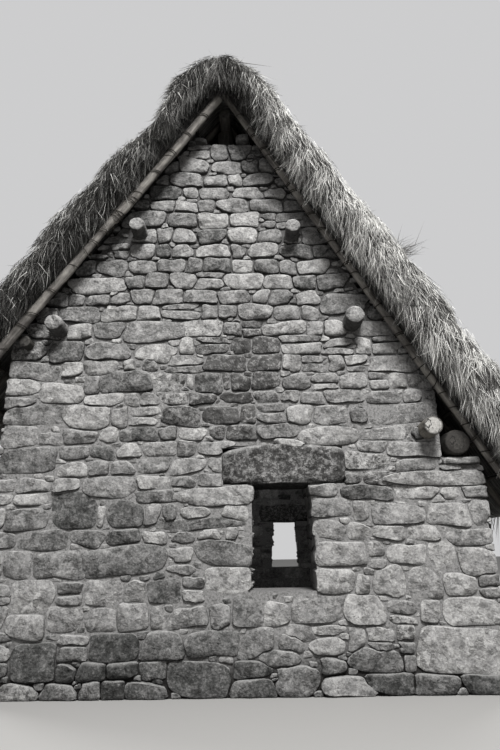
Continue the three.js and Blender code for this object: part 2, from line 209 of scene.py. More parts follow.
def graniteMaterial(name, brightness, lichen):
    # Split fieldstone granite. Cleft by hand, so matte and grainy, with pale mineral specks, grey weathering,
    # crusts of lichen, painted shade near its edges and below, and painted light on top. Specks of 2 to 4 mm
    # are drawn 24 mm wide, to show at all
    material, tree, shader = startMaterial(name, 0.92, 0.18)
    tone, rim, crust = [addNode(tree, "Attribute", {"attribute_name": key}, output="Fac")
                        for key in ("tone", "rim", "crust")]
    # The pattern starts elsewhere for each stone, by its tone
    far = addNode(tree, "CombineXYZ", None, {"X": addNode(tree, "Math", times, (tone, 37.0)),
                                             "Z": addNode(tree, "Math", times, (tone, 53.0))})
    place = addNode(tree, "VectorMath", plus, (addNode(tree, "TexCoord", output="Object"), far))
    weather = addPattern(tree, place, 120, 4, 0.62)
    speck = addPattern(tree, place, 24, 3, 0.8)
    streak = addPattern(tree, place, 50, 5, 0.72, (0.9, 0.9, 1.2), (0.5, 0.3, 0.2))
    grey = tone
    for pattern, weight in ((weather, 0.70), (streak, 0.66), (speck, 0.75)):
        centred = addNode(tree, "Math", minus, (pattern, 0.5))
        grey = addNode(tree, "Math", timesPlus, (centred, weight, grey))
    grey = addNode(tree, "Math", times, (grey, brightness))
    color = addNode(tree, "ValToRGB", {"stops": [(0.0, "#0e0e0d"), (0.28, "#3c3c3b"), (0.55, "#6c6b6a"),
                                                 (0.8, "#8e8d8b"), (1.0, "#a9a8a6")]}, (grey,))
    # Lichen grows most where the crust value is high
    blotch = addPattern(tree, place, 65, 8, 0.85)
    blotch = addNode(tree, "Math", timesPlus, (crust, 0.24, blotch))
    pale = addPattern(tree, place, 80, 7, 0.82, turn=(0.7, 0.2, 0.9))
    pale = addNode(tree, "Math", timesPlus, (crust, 0.10, pale))
    facing = addNode(tree, "NewGeometry", output="Normal")
    upward = addNode(tree, "SeparateXYZ", None, (facing,), "Z")
    layers = [  # source, where it starts and is full, strength, way of mixing, colour
        (blotch, 0.59, 0.67, lichen, blend, "#232221"),  # dark lichen in blotches with ragged edges
        (pale, 0.62, 0.72, 0.40, blend, "#9e9d9b"),  # pale crusts
        (rim, 0.25, 1.0, 0.40, darken, "#545352"),  # painted shade towards a stone's edge, as in its joint
        (upward, 0.0, -0.6, 0.75, darken, "#3a3937"),  # painted shade on what faces down
        (upward, 0.12, 0.7, 0.28, blend, "#b4b3b1"),  # painted light on what faces up
    ]
    for source, start, full, strength, mode, code in layers:
        share = addNode(tree, "MapRange", softStep, (source, start, full, 0.0, strength))
        color = addNode(tree, "Mix", mode, {0: share, 6: color, 7: linear(code)}, 2)
    tree.links.new(color, shader.inputs["Base Color"])
    # Chipped facets about 80 mm wide: each cell of the pattern is a plane with its own slope
    shift = addNode(tree, "TexNoise", None, {"Vector": place, "Scale": 1000 / 90, "Detail": 3.0}, "Color")
    ragged = addNode(tree, "VectorMath", timesPlus, (shift, (0.05, 0.05, 0.05), place))
    middle = addNode(tree, "TexVoronoi", None, {"Vector": ragged, "Scale": 12.0}, "Position")
    fromMiddle = addNode(tree, "VectorMath", minus, (ragged, middle))
    slopeWay = addNode(tree, "VectorMath", minus, (middle.node.outputs["Color"], (0.5, 0.5, 0.5)))
    facet = addNode(tree, "VectorMath", {"operation": "DOT_PRODUCT"}, (fromMiddle, slopeWay), "Value")
    rough = addNode(tree, "Math", timesPlus, (streak, 0.8, addPattern(tree, place, 45, 5, 0.6)))
    normal = addNode(tree, "Bump", None, {"Height": facet, "Distance": 1.0, "Strength": 0.8})
    for height, metres, strength in ((rough, 0.026, 0.9), (speck, 0.004, 0.8)):
        values = {"Height": height, "Distance": metres, "Strength": strength, "Normal": normal}
        normal = addNode(tree, "Bump", None, values)
    tree.links.new(normal, shader.inputs["Normal"])
    return material


def mudMaterial():
    # Mud mortar, thrown and smoothed by hand. Painted shade makes it dark at the foot and in the open joints
    # higher up, and it is pale between them
    material, tree, shader = startMaterial("mud mortar, hand laid", 0.95, 0.1)
    place = addNode(tree, "TexCoord", output="Object")
    height = addNode(tree, "SeparateXYZ", None, (place,), "Z")
    wobble = addNode(tree, "Math", minus, (addPattern(tree, place, 400, 3), 0.5))
    height = addNode(tree, "Math", timesPlus, (wobble, 0.9, height))
    # Painted shade: the mud is darkened at the foot and high up, where the joints lie open
    low = addNode(tree, "MapRange", softStep, (height, 0.15, 0.7, 0.0, 1.0))
    high = addNode(tree, "MapRange", softStep, (height, 3.3, 5.0, 1.0, 0.42))
    unshadedShare = addNode(tree, "Math", times, (low, high))
    color = addNode(tree, "Mix", blend, {0: unshadedShare, 6: linear("#1d1c1b"), 7: linear("#71706f")}, 2)
    grit = addPattern(tree, place, 25, 5, 0.7)
    share = addNode(tree, "MapRange", softStep, (grit, 0.3, 0.6, 0.7, 0.0))
    color = addNode(tree, "Mix", darken, {0: share, 6: color, 7: linear("#6d6c6b")}, 2)
    normal = addNode(tree, "Bump", None, {"Height": grit, "Distance": 0.012, "Strength": 0.9})
    tree.links.new(color, shader.inputs["Base Color"])
    tree.links.new(normal, shader.inputs["Normal"])
    return material


fieldstone = graniteMaterial("granite fieldstone, split and weathered, with painted shade", 1.0, 0.8)
pegStone = graniteMaterial("granite peg, dressed round", 0.93, 0.6)
mud = mudMaterial()
print("stone materials made")

# Walls. A face is a flat side of a wall. u runs along it, v is the height, d stands out of it

stoneSet = {
    "power": 5.5,  # how square the stones are: 2 is an ellipse
    "turn": 0.11,  # how far a stone's box may turn, in radians
    "taper": 0.30,  # how much narrower one side of a box may be
    "cuts": 4, "cutAt": (1.02, 1.42),  # straight cuts across a stone's corners, this far out in its own box
    "joint": 0.0045,  # half the gap between two stones
    "skin": 0.014,  # how deep a stone's side starts behind the wall's face
    "neighbours": 22,
    "chink": 0.07,  # half width of the small stones that fill bare places
    "cleft": 0.17,  # slope of the split planes of a stone's face
    "proud": (0.036, 0.062),
    "quoin": (0.26, 0.52),  # how far a corner stone reaches round the corner
    "overhang": 0.028,
}

# Heights of the courses of the front gable, from the ground up
gableCourses = [0.19, 0.19, 0.30, 0.27, 0.30, 0.33, 0.20, 0.27, 0.15, 0.17, 0.20, 0.19, 0.19, 0.25, 0.18,
                0.23, 0.23, 0.24, 0.23, 0.22, 0.21, 0.23, 0.22, 0.22, 0.24, 0.24, 0.20, 0.20, 0.22, 0.23,
                0.23]

# Stones that catch the eye on the front gable, in centimetres: left, right, foot, head. A fifth value is a
# tone from -3, nearly black, to 2, pale
eyeStones = [
    (-250, -200, 16, 56, -1), (-80, -10, 0, 36, -3), (35, 85, 0, 32, -1), (135, 185, 4, 22, -3),
    (-145, -110, 20, 36, -2), (235, 285, 0, 20, -2), (190, 290, 20, 68, 0), (115, 175, 24, 52, 0),
    (15, 65, 28, 50, -2), (-165, -110, 38, 66, -1), (-110, -65, 38, 68, -1), (-60, 0, 40, 68, -1),
    (40, 85, 52, 74, -2), (-260, -215, 60, 86, 0), (-80, -35, 68, 92, -2), (-135, -100, 68, 100, -1),
    (-10, 25, 68, 102, -2), (220, 290, 68, 102, 1), (55, 115, 72, 100, -1), (120, 160, 72, 104, -1),
    (-255, -205, 88, 124, -2), (-105, -65, 92, 120, -3), (145, 185, 96, 132, 0), (185, 225, 92, 132, 0),
    (245, 290, 116, 150, 0), (-235, -175, 120, 152, -1), (-175, -80, 124, 162, -2), (80, 145, 131, 160, 1),
    (165, 210, 132, 156, -1), (-52, 14, 135, 167, 0), (230, 290, 152, 172, 0), (-255, -195, 154, 176, -1),
    (-110, 14, 168, 192, -1), (215, 265, 172, 200, 0), (150, 215, 176, 200, -1), (-155, -110, 176, 208, -2),
    (78, 130, 185, 208, 1), (-220, -165, 178, 220, -3), (-70, 14, 193, 223, 0), (120, 180, 204, 224, -2),
    (-185, -120, 210, 238, -2), (125, 180, 240, 262, 0), (180, 290, 220, 240, 1), (-280, -215, 240, 272, 0),
    (175, 240, 252, 274, 1), (70, 140, 270, 292, -1), (145, 205, 274, 292, 0), (-285, -240, 274, 300, 1),
    (155, 250, 294, 320, -1), (-205, -155, 292, 324, 1), (-285, -210, 300, 328, 1), (-245, -190, 324, 352, 0),
    (-10, 15, 332, 360, -3), (-55, -20, 332, 364, -2), (-105, -65, 336, 364, 0), (-170, -105, 340, 372, 2),
    (-285, -220, 354, 380, 1), (160, 220, 360, 382, -1), (-130, -75, 372, 398, 0), (-190, -135, 376, 404, 1),
    (-240, -195, 376, 408, -1), (-285, -240, 380, 412, 0), (-145, -65, 406, 432, 0), (105, 165, 440, 468, 0),
    (-230, -175, 432, 454, 0), (-215, -145, 468, 492, 0), (-150, -95, 568, 596, 1), (-120, -75, 608, 636, -1),
    (-30, 15, 588, 614, 0), (-39, 14, 104, 134, 1), (80, 128, 104, 130, 1), (80, 122, 161, 184, 0),
    (78, 112, 209, 224, 1),
]


def makeFace(origin, along, out, lean, lines, holes=(), free=()):
    # lines and holes hold half planes (a, b, c): a*u + b*v <= c is inside. free lists the lines at open
    # corners
    return {"origin": np.array(origin, float), "along": np.array(along, float), "out": np.array(out, float),
            "lean": lean, "lines": list(lines), "holes": [list(h) for h in holes], "free": set(free)}


def placeOnFace(face, u, v, d):  # the house's x, y, z from a face's u, v and d
    back = (d - v * face["lean"])[..., None] * face["out"]
    return face["origin"] + u[..., None] * face["along"] + v[..., None] * np.array([0, 0, 1]) + back


def isInside(face, u, v):  # the overhang at open corners and at the sides of holes is counted as inside
    over = stoneSet["overhang"]
    inside = np.ones(u.shape, bool)
    for number, (a, b, c) in enumerate(face["lines"]):
        inside &= a * u + b * v <= c + (over if number in face["free"] else 0)
    for hole in face["holes"]:
        within = np.ones(u.shape, bool)
        for a, b, c, isOpen in hole:
            within &= a * u + b * v <= c - (over if isOpen else 0)
        inside &= ~within
    return inside


def layCourses(rng, courses, span, meanWidth, known, wave=0.02, split=0.3):
    # Boxes of stones (u, v, half width, half height): each course is filled with random widths that fit
    # between the known boxes, tall courses are partly split in two, and small chinking stones go between
    # courses
    boxes = []
    foot = 0.0
    for height in courses:
        middle = foot + height / 2
        taken = sorted((k[0] - k[2], k[0] + k[2]) for k in known if abs(k[1] - middle) < k[3] * 0.9)
        edges = [span[0]]
        for start, end in taken:
            edges += [max(start, edges[-1]), max(end, edges[-1])]
        edges.append(max(span[1], edges[-1]))
        for start, end in zip(edges[::2], edges[1::2]):
            if end - start < 0.09:
                continue
            count = max(1, round((end - start) / meanWidth))
            widths = rng.uniform(0.55, 1.5, count)
            widths = np.cumsum(widths / widths.sum() * (end - start))
            left = start
            for right in start + widths:
                sag = wave * math.sin(1.1 * left + 0.6 * foot) + rng.uniform(-0.5, 0.5) * wave
                tall = height * rng.uniform(0.88, 1.1)
                if height > 0.21 and rng.random() < split or height > 0.28 and rng.random() < 0.4:
                    cut = rng.uniform(0.35, 0.65) * tall
                    boxes.append([(left + right) / 2, foot + sag + cut / 2, (right - left) / 2, cut / 2])
                    boxes.append([(left + right) / 2, foot + sag + (cut + tall) / 2, (right - left) / 2,
                                  (tall - cut) / 2])
                else:
                    boxes.append([(left + right) / 2, foot + sag + tall / 2, (right - left) / 2, tall / 2])
                if rng.random() < 0.12:
                    boxes.append([right + rng.uniform(-0.03, 0.03), foot + sag + rng.uniform(-0.015, 0.02),
                                  rng.uniform(0.035, 0.07), rng.uniform(0.02, 0.032)])
                left = right
        foot += height
    return boxes


def shareOut(face, boxes, ghosts, rays):
    # Grows each box along rays until another box is nearer, where the distance to a box is the power mean
    # of |u| / half width and |v| / half height in its own slightly turned and tapered axes. The radius
    # along a ray is 1 at the box's edge. Ghosts take part but get no stone. Returns boxes, turns, rays,
    # radii and open ends
    power = stoneSet["power"]
    everything = np.array(list(boxes) + list(ghosts), float).reshape(-1, 4)
    inside = isInside(face, everything[:, 0], everything[:, 1])
    keep = inside | (np.arange(len(everything)) >= len(boxes))
    count = int(inside[:len(boxes)].sum())
    everything = everything[keep]
    whole = np.round(everything * 1000).astype(np.int64)
    draw = np.stack([latticeValue(whole[:, 0], whole[:, 1], whole[:, 2], k) * 2 - 1 for k in range(3)], 1)
    draw[count:] = 0
    turn, taper = draw[:, 0] * stoneSet["turn"], draw[:, 1:] * stoneSet["taper"]
    corner = (np.arange(rays) + 0.5) / rays * 4
    side, along = corner.astype(int) % 4, (corner % 1) * 2 - 1
    one = np.ones(rays)
    x = np.choose(side, [one, -along, -one, along])
    y = np.choose(side, [along, one, -along, -one])
    length = (np.abs(x) ** power + np.abs(y) ** power) ** (1 / power)
    ray = np.stack([x / length, y / length], -1)
    stones = everything[:count]
    gap = np.hypot(stones[:, None, 0] - everything[None, :, 0], stones[:, None, 1] - everything[None, :, 1])
    order = np.argsort(gap, 1)[:, 1:stoneSet["neighbours"] + 1]
    step = np.linspace(0.12, 1.7, 80)
    local = step[None, None, :, None] * ray[None, :, None, :] * stones[:, None, None, 2:4]
    cosine, sine = np.cos(turn[:count])[:, None, None], np.sin(turn[:count])[:, None, None]
    u = stones[:, 0, None, None] + cosine * local[..., 0] - sine * local[..., 1]
    v = stones[:, 1, None, None] + sine * local[..., 0] + cosine * local[..., 1]
    # The box's own distance, with its taper, is compared with that of its neighbours
    p, q = local[..., 0] / stones[:, None, None, 2], local[..., 1] / stones[:, None, None, 3]
    k = taper[:count]
    wide, high = 1 + k[:, 0, None, None] * np.clip(q, -1, 1), 1 + k[:, 1, None, None] * np.clip(p, -1, 1)
    mine = (np.abs(p / wide) ** power + np.abs(q / high) ** power) ** (1 / power)
    nearest = np.full(u.shape, 9.0)
    for number in range(order.shape[1]):
        other = everything[order[:, number]]
        c, n = np.cos(turn[order[:, number]])[:, None, None], np.sin(turn[order[:, number]])[:, None, None]
        du, dv = u - other[:, 0, None, None], v - other[:, 1, None, None]
        p, q = (c * du + n * dv) / other[:, 2, None, None], (c * dv - n * du) / other[:, 3, None, None]
        k = taper[order[:, number]]
        wide, high = 1 + k[:, 0, None, None] * np.clip(q, -1, 1), 1 + k[:, 1, None, None] * np.clip(p, -1, 1)
        p, q = p / wide, q / high
        nearest = np.minimum(nearest, (np.abs(p) ** power + np.abs(q) ** power) ** (1 / power))
    allowed = isInside(face, u, v)
    free = (nearest >= mine) & (mine < 1.6) & allowed
    blocked = ~free
    stop = np.where(blocked.any(2), blocked.argmax(2), len(step))
    radius = step[np.clip(stop - 1, 0, len(step) - 1)]
    last = np.clip(stop, 0, len(step) - 1)
    openEnd = ~np.take_along_axis(allowed, last[..., None], 2)[..., 0]
    near, far = stoneSet["cutAt"]
    whole = whole[:count]
    for number in range(stoneSet["cuts"]):
        angle = 2 * np.pi * latticeValue(whole[:, 0], whole[:, 1], whole[:, 2], 31 + number)[:, None]
        drawn = latticeValue(whole[:, 0], whole[:, 1], whole[:, 2], 41 + number)
        place = near + (far - near) * drawn[:, None]
        facing = np.cos(angle) * ray[None, :, 0] + np.sin(angle) * ray[None, :, 1]
        limit = np.where(facing > 0.1, place / np.maximum(facing, 0.1), 9)
        radius = np.where(openEnd, radius, np.minimum(radius, limit))
    return stones, turn[:count], ray, radius, openEnd


def isCovered(stones, turn, radius, u, v):
    # Whether points lie within the outlines that shareOut gave, looked up by a point's direction from a stone
    covered = np.zeros(u.shape, bool)
    rays = radius.shape[1]
    for start in range(0, len(stones), 60):
        some = stones[start:start + 60]
        c, n = np.cos(turn[start:start + 60])[:, None], np.sin(turn[start:start + 60])[:, None]
        du, dv = u[None] - some[:, 0, None], v[None] - some[:, 1, None]
        p, q = (c * du + n * dv) / some[:, 2, None], (c * dv - n * du) / some[:, 3, None]
        wide = np.abs(p) >= np.abs(q)
        along = np.where(wide, q / np.where(p == 0, 1e-9, p), -p / np.where(q == 0, 1e-9, q))
        side = np.where(wide, np.where(p > 0, 0, 2), np.where(q > 0, 1, 3))
        k = np.clip(((side + (along + 1) / 2) * rays / 4).astype(int), 0, rays - 1)
        power = stoneSet["power"]
        distance = (np.abs(p) ** power + np.abs(q) ** power) ** (1 / power)
        covered |= (distance < np.take_along_axis(radius[start:start + 60], k, 1) + 0.04).any(0)
    return covered


def fillGaps(rng, face, boxes, ghosts):
    # Small stones are added wherever a grid over the face finds a bare place wider than a joint
    boxes = [list(box) for box in boxes]
    low = min(box[0] for box in boxes) - 0.1
    high = max(box[0] for box in boxes) + 0.1
    top = max(box[1] for box in boxes) + 0.1
    size = stoneSet["chink"]
    stones, turn, _, radius, _ = shareOut(face, boxes, ghosts, 24)
    u, v = np.meshgrid(np.arange(low, high, size * 0.5), np.arange(0.03, top, size * 0.5), indexing="ij")
    u, v = u.ravel(), v.ravel()
    bare = isInside(face, u, v) & ~isCovered(stones, turn, radius, u, v)
    for x, z, a, b in ghosts:
        bare &= (np.abs(u - x) > a + 0.07) | (np.abs(v - z) > b + 0.02)
    chosen = np.zeros((0, 2))
    for i in rng.permutation(np.flatnonzero(bare)):
        apart = (np.abs(chosen[:, 0] - u[i]) > size * 1.7) | (np.abs(chosen[:, 1] - v[i]) > size * 1.1)
        if apart.all():
            chosen = np.concatenate([chosen, [[u[i], v[i]]]])
    return boxes + [[p, q, size * rng.uniform(0.7, 1.1), size * rng.uniform(0.45, 0.7)] for p, q in chosen]


def stoneRound(radius, rounds):  # smooths radii around each stone, which rounds its corners
    for _ in range(rounds):
        radius = 0.25 * np.roll(radius, 1, 1) + 0.5 * radius + 0.25 * np.roll(radius, -1, 1)
    return radius


def cutStones(name, rng, face, boxes, ghosts, rays, rings, tones, proud=None):
    # Each stone is a closed island: a ring behind the wall's face, rings over a rounded edge and a split
    # face that is the lowest of a few slanting planes with a rough swell on top. Returns the corner stones'
    # u, v, half height and depth
    if proud is None:
        boxes = fillGaps(rng, face, boxes, ghosts)
    stones, turn, ray, radius, openEnd = shareOut(face, boxes, ghosts, rays)
    count = len(stones)
    open2 = stoneRound(openEnd.astype(float), 1) > 0.2
    radius = stoneRound(radius, 1)
    reach = np.hypot(ray[None, :, 0] * stones[:, 2, None], ray[None, :, 1] * stones[:, 3, None])
    wobble = 1 + 0.05 * stoneRound(rng.normal(0, 1, radius.shape), 2)
    joint = stoneSet["joint"] * rng.uniform(0.6, 1.5, (count, 1))
    radius = np.where(open2, radius, np.maximum(radius * wobble - joint / reach * 1.15, 0.25))
    big = radius.mean(1) * np.sqrt(stones[:, 2] * stones[:, 3]) > 0.018
    stones, turn, radius, reach, openEnd = stones[big], turn[big], radius[big], reach[big], open2[big]
    count = len(stones)
    isCorner = openEnd.sum(1) >= 3
    low, high = proud or stoneSet["proud"]
    small = np.clip(np.sqrt(stones[:, 2] * stones[:, 3]) / 0.10, 0.45, 1)  # small stones stand out less
    stand = rng.uniform(low, high, count) * small
    soft = rng.uniform(0.004, 0.014, count)  # radius of the worn edge
    deep = np.where(isCorner, rng.uniform(*stoneSet["quoin"], count), stoneSet["skin"])
    deep = np.where(stones[:, 1] > 3.8, np.minimum(deep, 0.25), deep)  # under the roof
    # Each ring: how far in from the outline in edge radii, share of what is left, and share of the height
    if rings == 5:
        profile = [(0, 1, None), (0, 1, 0.45), (0.6, 1, 0.84), (1.6, 0.97, 1.0), (1.8, 0.50, 1.0)]
    else:
        profile = [(0, 1, None), (0.3, 1, 0.8), (1.0, 0.85, 1.0)]
    slopes = rng.normal(0, stoneSet["cleft"], (count, 4, 2))
    offsets = rng.uniform(0.002, 0.02, (count, 4))
    offsets[:, 0] = 0
    places, rims = [], []
    for inward, share, level in profile:
        scale = (radius - inward * soft[:, None] / reach) * share
        scale = np.maximum(scale, 0.1)
        a = scale * ray[None, :, 0] * stones[:, 2, None]
        b = scale * ray[None, :, 1] * stones[:, 3, None]
        c, n = np.cos(turn)[:, None], np.sin(turn)[:, None]
        u, v = stones[:, 0, None] + c * a - n * b, stones[:, 1, None] + n * a + c * b
        if level is None:
            d = np.broadcast_to(-deep[:, None], u.shape)
        else:
            planes = offsets[:, :, None] + slopes[:, :, 0, None] * a[:, None]
            planes = planes + slopes[:, :, 1, None] * b[:, None]
            relief = 0.020 * np.tanh(planes.min(1) / 0.020)
            rough = lumps(np.stack([u, v, stand[:, None] * 90 + 0 * u], -1), 0.09, 5, 2)
            d = stand[:, None] * level + (relief + 0.007 * rough) * level
        v = np.maximum(v, 0.002)
        places.append(placeOnFace(face, u, v, d))
        # rim is the share of painted shade: full at a stone's outline and behind it, none on its middle
        rim = 1.0 if level is None else max(0.0, 1.0 - 1.1 * (inward + 3 * (1 - share)))
        rims.append(np.full(u.shape, rim))
    ringCount = len(places)
    grid = np.stack(places, 1)
    rim = np.stack(rims, 1)
    rim = np.clip(rim, 0, 1)
    tip = placeOnFace(face, stones[:, 0], np.maximum(stones[:, 1], 0.01), stand + offsets.min(1) * 0.5)
    root = placeOnFace(face, stones[:, 0], np.maximum(stones[:, 1], 0.01), -deep - 0.02)
    # The tip lies on the mean of the last ring, so that the middle of the face stays level with it
    tip = 0.5 * tip + 0.5 * grid[:, -1].mean(1)
    points = np.concatenate([grid.reshape(-1, 3), tip, root])
    body = ringCount * rays
    tips = count * body + np.arange(count)
    faces = [ringFaces(count, ringCount, rays),
             fanFaces(count, body - rays, body, rays, tips),
             fanFaces(count, 0, body, rays, tips + count, True)]
    tone = np.clip(tones(rng, stones), 0.2, 0.68)
    crust = lumps(np.stack([stones[:, 0], stones[:, 1], 0 * stones[:, 0]], -1), 0.8, 11, 2)
    crust += 0.45 * np.exp(-((stones[:, 0] + 0.1) / 0.8) ** 2 - ((stones[:, 1] - 3.1) / 1.0) ** 2) - 0.12
    values = {key: np.concatenate([np.repeat(value, body), value, value])
              for key, value in (("tone", tone), ("crust", crust))}
    values["rim"] = np.concatenate([rim.ravel(), np.zeros(count), np.ones(count)])
    makePiece(name, points, faces, fieldstone, values, True, 38)
    print(name, count, "stones", count * 2 * rays * ringCount, "triangles")
    return [(stones[i, 0], stones[i, 1], stones[i, 3] * 1.02, deep[i]) for i in np.flatnonzero(isCorner)]


def quietTones(rng, stones):  # plain random tones
    return rng.normal(0.52, 0.085, len(stones))


# The front gable's openings and outline, as half planes
frontWindow = {"middle": 0.485, "sill": 1.045, "head": 2.25, "foot": 0.395, "top": 0.34}
backWindow = {"middle": 1.027, "sill": 1.045, "head": 2.25, "foot": 0.385, "top": 0.315}
door = {"middle": 0.0, "sill": -0.5, "head": 1.78, "foot": 0.475, "top": 0.41}
windowLintel = {"left": -0.69, "right": 0.755, "height": 0.435}
doorLintel = {"left": -0.82, "right": 0.86, "height": 0.33}
pegPlaces = [(-1.294, 5.573, 0.098), (0.718, 5.518, 0.098), (-2.258, 4.222, 0.108), (1.438, 4.269, 0.120)]
logEnds = [(-2.62, 4.016, 0.07), (2.25, 2.867, 0.11)]


def openingHole(opening, mirror=1):  # the sides taper, the head is closed by a lintel
    taper = (opening["foot"] - opening["top"]) / (opening["head"] - opening["sill"])
    reach = opening["foot"] + taper * opening["sill"]
    m = mirror * opening["middle"]
    return [(1, taper, m + reach, True), (-1, taper, reach - m, True), (0, 1, opening["head"], False),
            (0, -1, -opening["sill"], False)]


def lintelHole(lintel, opening, mirror=1):
    left, right = lintel["left"], lintel["right"]
    if mirror < 0:
        left, right = -right, -left
    m = mirror * opening["middle"]
    foot, top = opening["head"], opening["head"] + lintel["height"]
    return [(1, 0, m + right, False), (-1, 0, -m - left, False), (0, 1, top, False), (0, -1, -foot, False)]


def boxOfHole(lintel, opening, mirror=1):  # ghosts for an opening and its lintel
    left, right = lintel["left"], lintel["right"]
    if mirror < 0:
        left, right = -right, -left
    m = mirror * opening["middle"]
    sill, head = max(opening["sill"], -0.1), opening["head"]
    return [(m, (sill + head) / 2, opening["foot"], (head - sill) / 2),
            (m + (left + right) / 2, head + lintel["height"] / 2, (right - left) / 2, lintel["height"] / 2)]


def rakeLine(slope, mirror, h):  # the half plane under a slope, h out from the rafters' centre lines
    c, n = math.cos(slope["pitch"]), math.sin(slope["pitch"])
    side = slope["side"] * mirror
    return (side * n, c, side * n * mirror * ridge["x"] + c * ridge["z"] + h)


def gableLines(mirror, sideBatter):
    # Sides, ground, both rakes and the flat top. mirror is -1 on a face whose u runs towards -X
    w = house["halfWidth"]
    return [(1, sideBatter, w), (-1, sideBatter, w), (0, -1, 0), rakeLine(leftSlope, mirror, 0.03),
            rakeLine(rightSlope, mirror, 0.03), (0, 1, house["gableTop"])]


shoulderHole = {1: [(-1, 0, -2.40, False), (0, -1, -2.44, False)],
                -1: [(1, 0, -2.40, False), (0, -1, -2.44, False)]}


def roundGhosts(mirror=1):  # pegs and log ends, which the stones leave room for
    rounds = pegPlaces + logEnds
    return [(mirror * x, z, r * 1.25, r * 1.2) for x, z, r in rounds]


knownBoxes = [[(l + r) / 200, (f + t) / 200, (r - l) / 200, (t - f) / 200] for l, r, f, t, _ in eyeStones]
knownTones = np.array([stone[4] for stone in eyeStones])


def frontTones(rng, stones):
    # The wall is dark at the foot, darker about its middle, towards the left foot and high up, and pale on
    # the right. Known stones then have their own tone added
    u, v = stones[:, 0], stones[:, 1]
    tone = 0.58 + 0.03 * np.clip(u, -2, 2) / 2 - 0.20 * np.clip((0.75 - v) / 0.6, 0, 1)
    tone = tone - 0.05 * np.exp(-((u - 0.1) / 0.7) ** 2 - ((v - 3.4) / 0.8) ** 2)
    tone = tone - 0.07 * np.exp(-((u + 1.6) / 1.0) ** 2 - ((v - 1.5) / 0.7) ** 2)
    tone = tone + 0.05 * np.exp(-((u + 2.2) / 0.8) ** 2 - ((v - 3.3) / 0.9) ** 2)
    tone = tone + rng.normal(0, 0.095, len(stones))
    boxes = np.array(knownBoxes)
    near = np.hypot(u[:, None] - boxes[None, :, 0], v[:, None] - boxes[None, :, 1])
    match = near.argmin(1)
    tone -= 0.06 * np.clip((v - 3.2) / 1.5, 0, 1)
    return tone + np.where(near.min(1) < 0.002, 0.045 * knownTones[match], 0)


def sideGhosts(corners, side, sign):
    # A gable's corner stones reach round onto a side wall, which leaves room for them
    w = house["halfWidth"]
    return [(sign * (house["halfLength"] - deep / 2), v, deep / 2, half)
            for u, v, half, deep in corners if side * u > w - 0.7]


def jambGhosts(corners, middle, side, sign):  # the same at one side of an opening
    found = []
    for u, v, half, deep in corners:
        if 0.2 < side * (u - middle) < 1.0:
            found.append((sign * (house["halfLength"] - deep / 2), v, deep / 2, half))
    return found


def evenCourses(rng, top, mean):  # heights of courses that vary about the mean and reach the top
    count = round(top / mean)
    heights = rng.uniform(0.75, 1.3, count)
    return list(heights / heights.sum() * top)


def wallFaces():
    # Every face of every wall, with the way u runs chosen so that u, up and out make a right-handed set
    long, wide = house["halfLength"], house["halfWidth"]
    innerY, innerX = house["gableInner"], house["sideInner"]
    gable, side, top = house["gableBatter"], house["sideBatter"], house["gableTop"]
    faces = {}
    faces["front"] = makeFace((0, -long, 0), (1, 0, 0), (0, -1, 0), gable, gableLines(1, side),
                              [openingHole(frontWindow), lintelHole(windowLintel, frontWindow),
                               shoulderHole[1]], (0, 1, 3, 4))
    faces["back"] = makeFace((0, long, 0), (-1, 0, 0), (0, 1, 0), gable, gableLines(-1, side),
                             [openingHole(backWindow, -1), lintelHole(windowLintel, backWindow, -1),
                              shoulderHole[-1]], (0, 1, 3, 4))
    ends = [(1, gable, long), (-1, gable, long), (0, -1, 0)]
    faces["left"] = makeFace((-wide, 0, 0), (0, -1, 0), (-1, 0, 0), side, ends + [(0, 1, 3.74)],
                             [openingHole(door, -1), lintelHole(doorLintel, door, -1)])
    faces["right"] = makeFace((wide, 0, 0), (0, 1, 0), (1, 0, 0), side, ends + [(0, 1, 2.40)])
    inner = [(1, 0, innerX), (-1, 0, innerX), (0, -1, 0)]
    rakes = [rakeLine(leftSlope, -1, -0.02), rakeLine(rightSlope, -1, -0.03), (0, 1, top)]
    faces["frontInner"] = makeFace((0, -innerY, 0), (-1, 0, 0), (0, 1, 0), 0, inner + rakes,
                                   [openingHole(frontWindow, -1), lintelHole(windowLintel, frontWindow, -1)])
    rakes = [rakeLine(leftSlope, 1, -0.02), rakeLine(rightSlope, 1, -0.03), (0, 1, top)]
    faces["backInner"] = makeFace((0, innerY, 0), (1, 0, 0), (0, -1, 0), 0, inner + rakes,
                                  [openingHole(backWindow), lintelHole(windowLintel, backWindow)])
    inner = [(1, 0, innerY), (-1, 0, innerY), (0, -1, 0)]
    faces["leftInner"] = makeFace((-innerX, 0, 0), (0, 1, 0), (1, 0, 0), 0, inner + [(0, 1, 3.93)],
                                  [openingHole(door), lintelHole(doorLintel, door)])
    faces["rightInner"] = makeFace((innerX, 0, 0), (0, -1, 0), (-1, 0, 0), 0, inner + [(0, 1, 2.74)])
    return faces


faces = wallFaces()
rng = np.random.default_rng(7)
frontBoxes = layCourses(rng, gableCourses, (-2.95, 2.95), 0.34, knownBoxes, 0.02, 0.2)
frontGhosts = roundGhosts() + boxOfHole(windowLintel, frontWindow)
frontCorners = cutStones("front_gable_stones", rng, faces["front"], knownBoxes + frontBoxes,
                         frontGhosts, 24, 5, frontTones)
backBoxes = layCourses(rng, gableCourses, (-2.95, 2.95), 0.31, [], 0.02)
backGhosts = roundGhosts(-1) + boxOfHole(windowLintel, backWindow, -1)
backCorners = cutStones("back_gable_stones", rng, faces["back"], backBoxes, backGhosts, 14, 3, quietTones)
sideGhostsLeft = sideGhosts(frontCorners, -1, 1) + sideGhosts(backCorners, 1, -1)
sideGhostsRight = sideGhosts(frontCorners, 1, -1) + sideGhosts(backCorners, -1, 1)
leftBoxes = layCourses(rng, gableCourses[:17], (-5.4, 5.4), 0.33, [], 0.02)
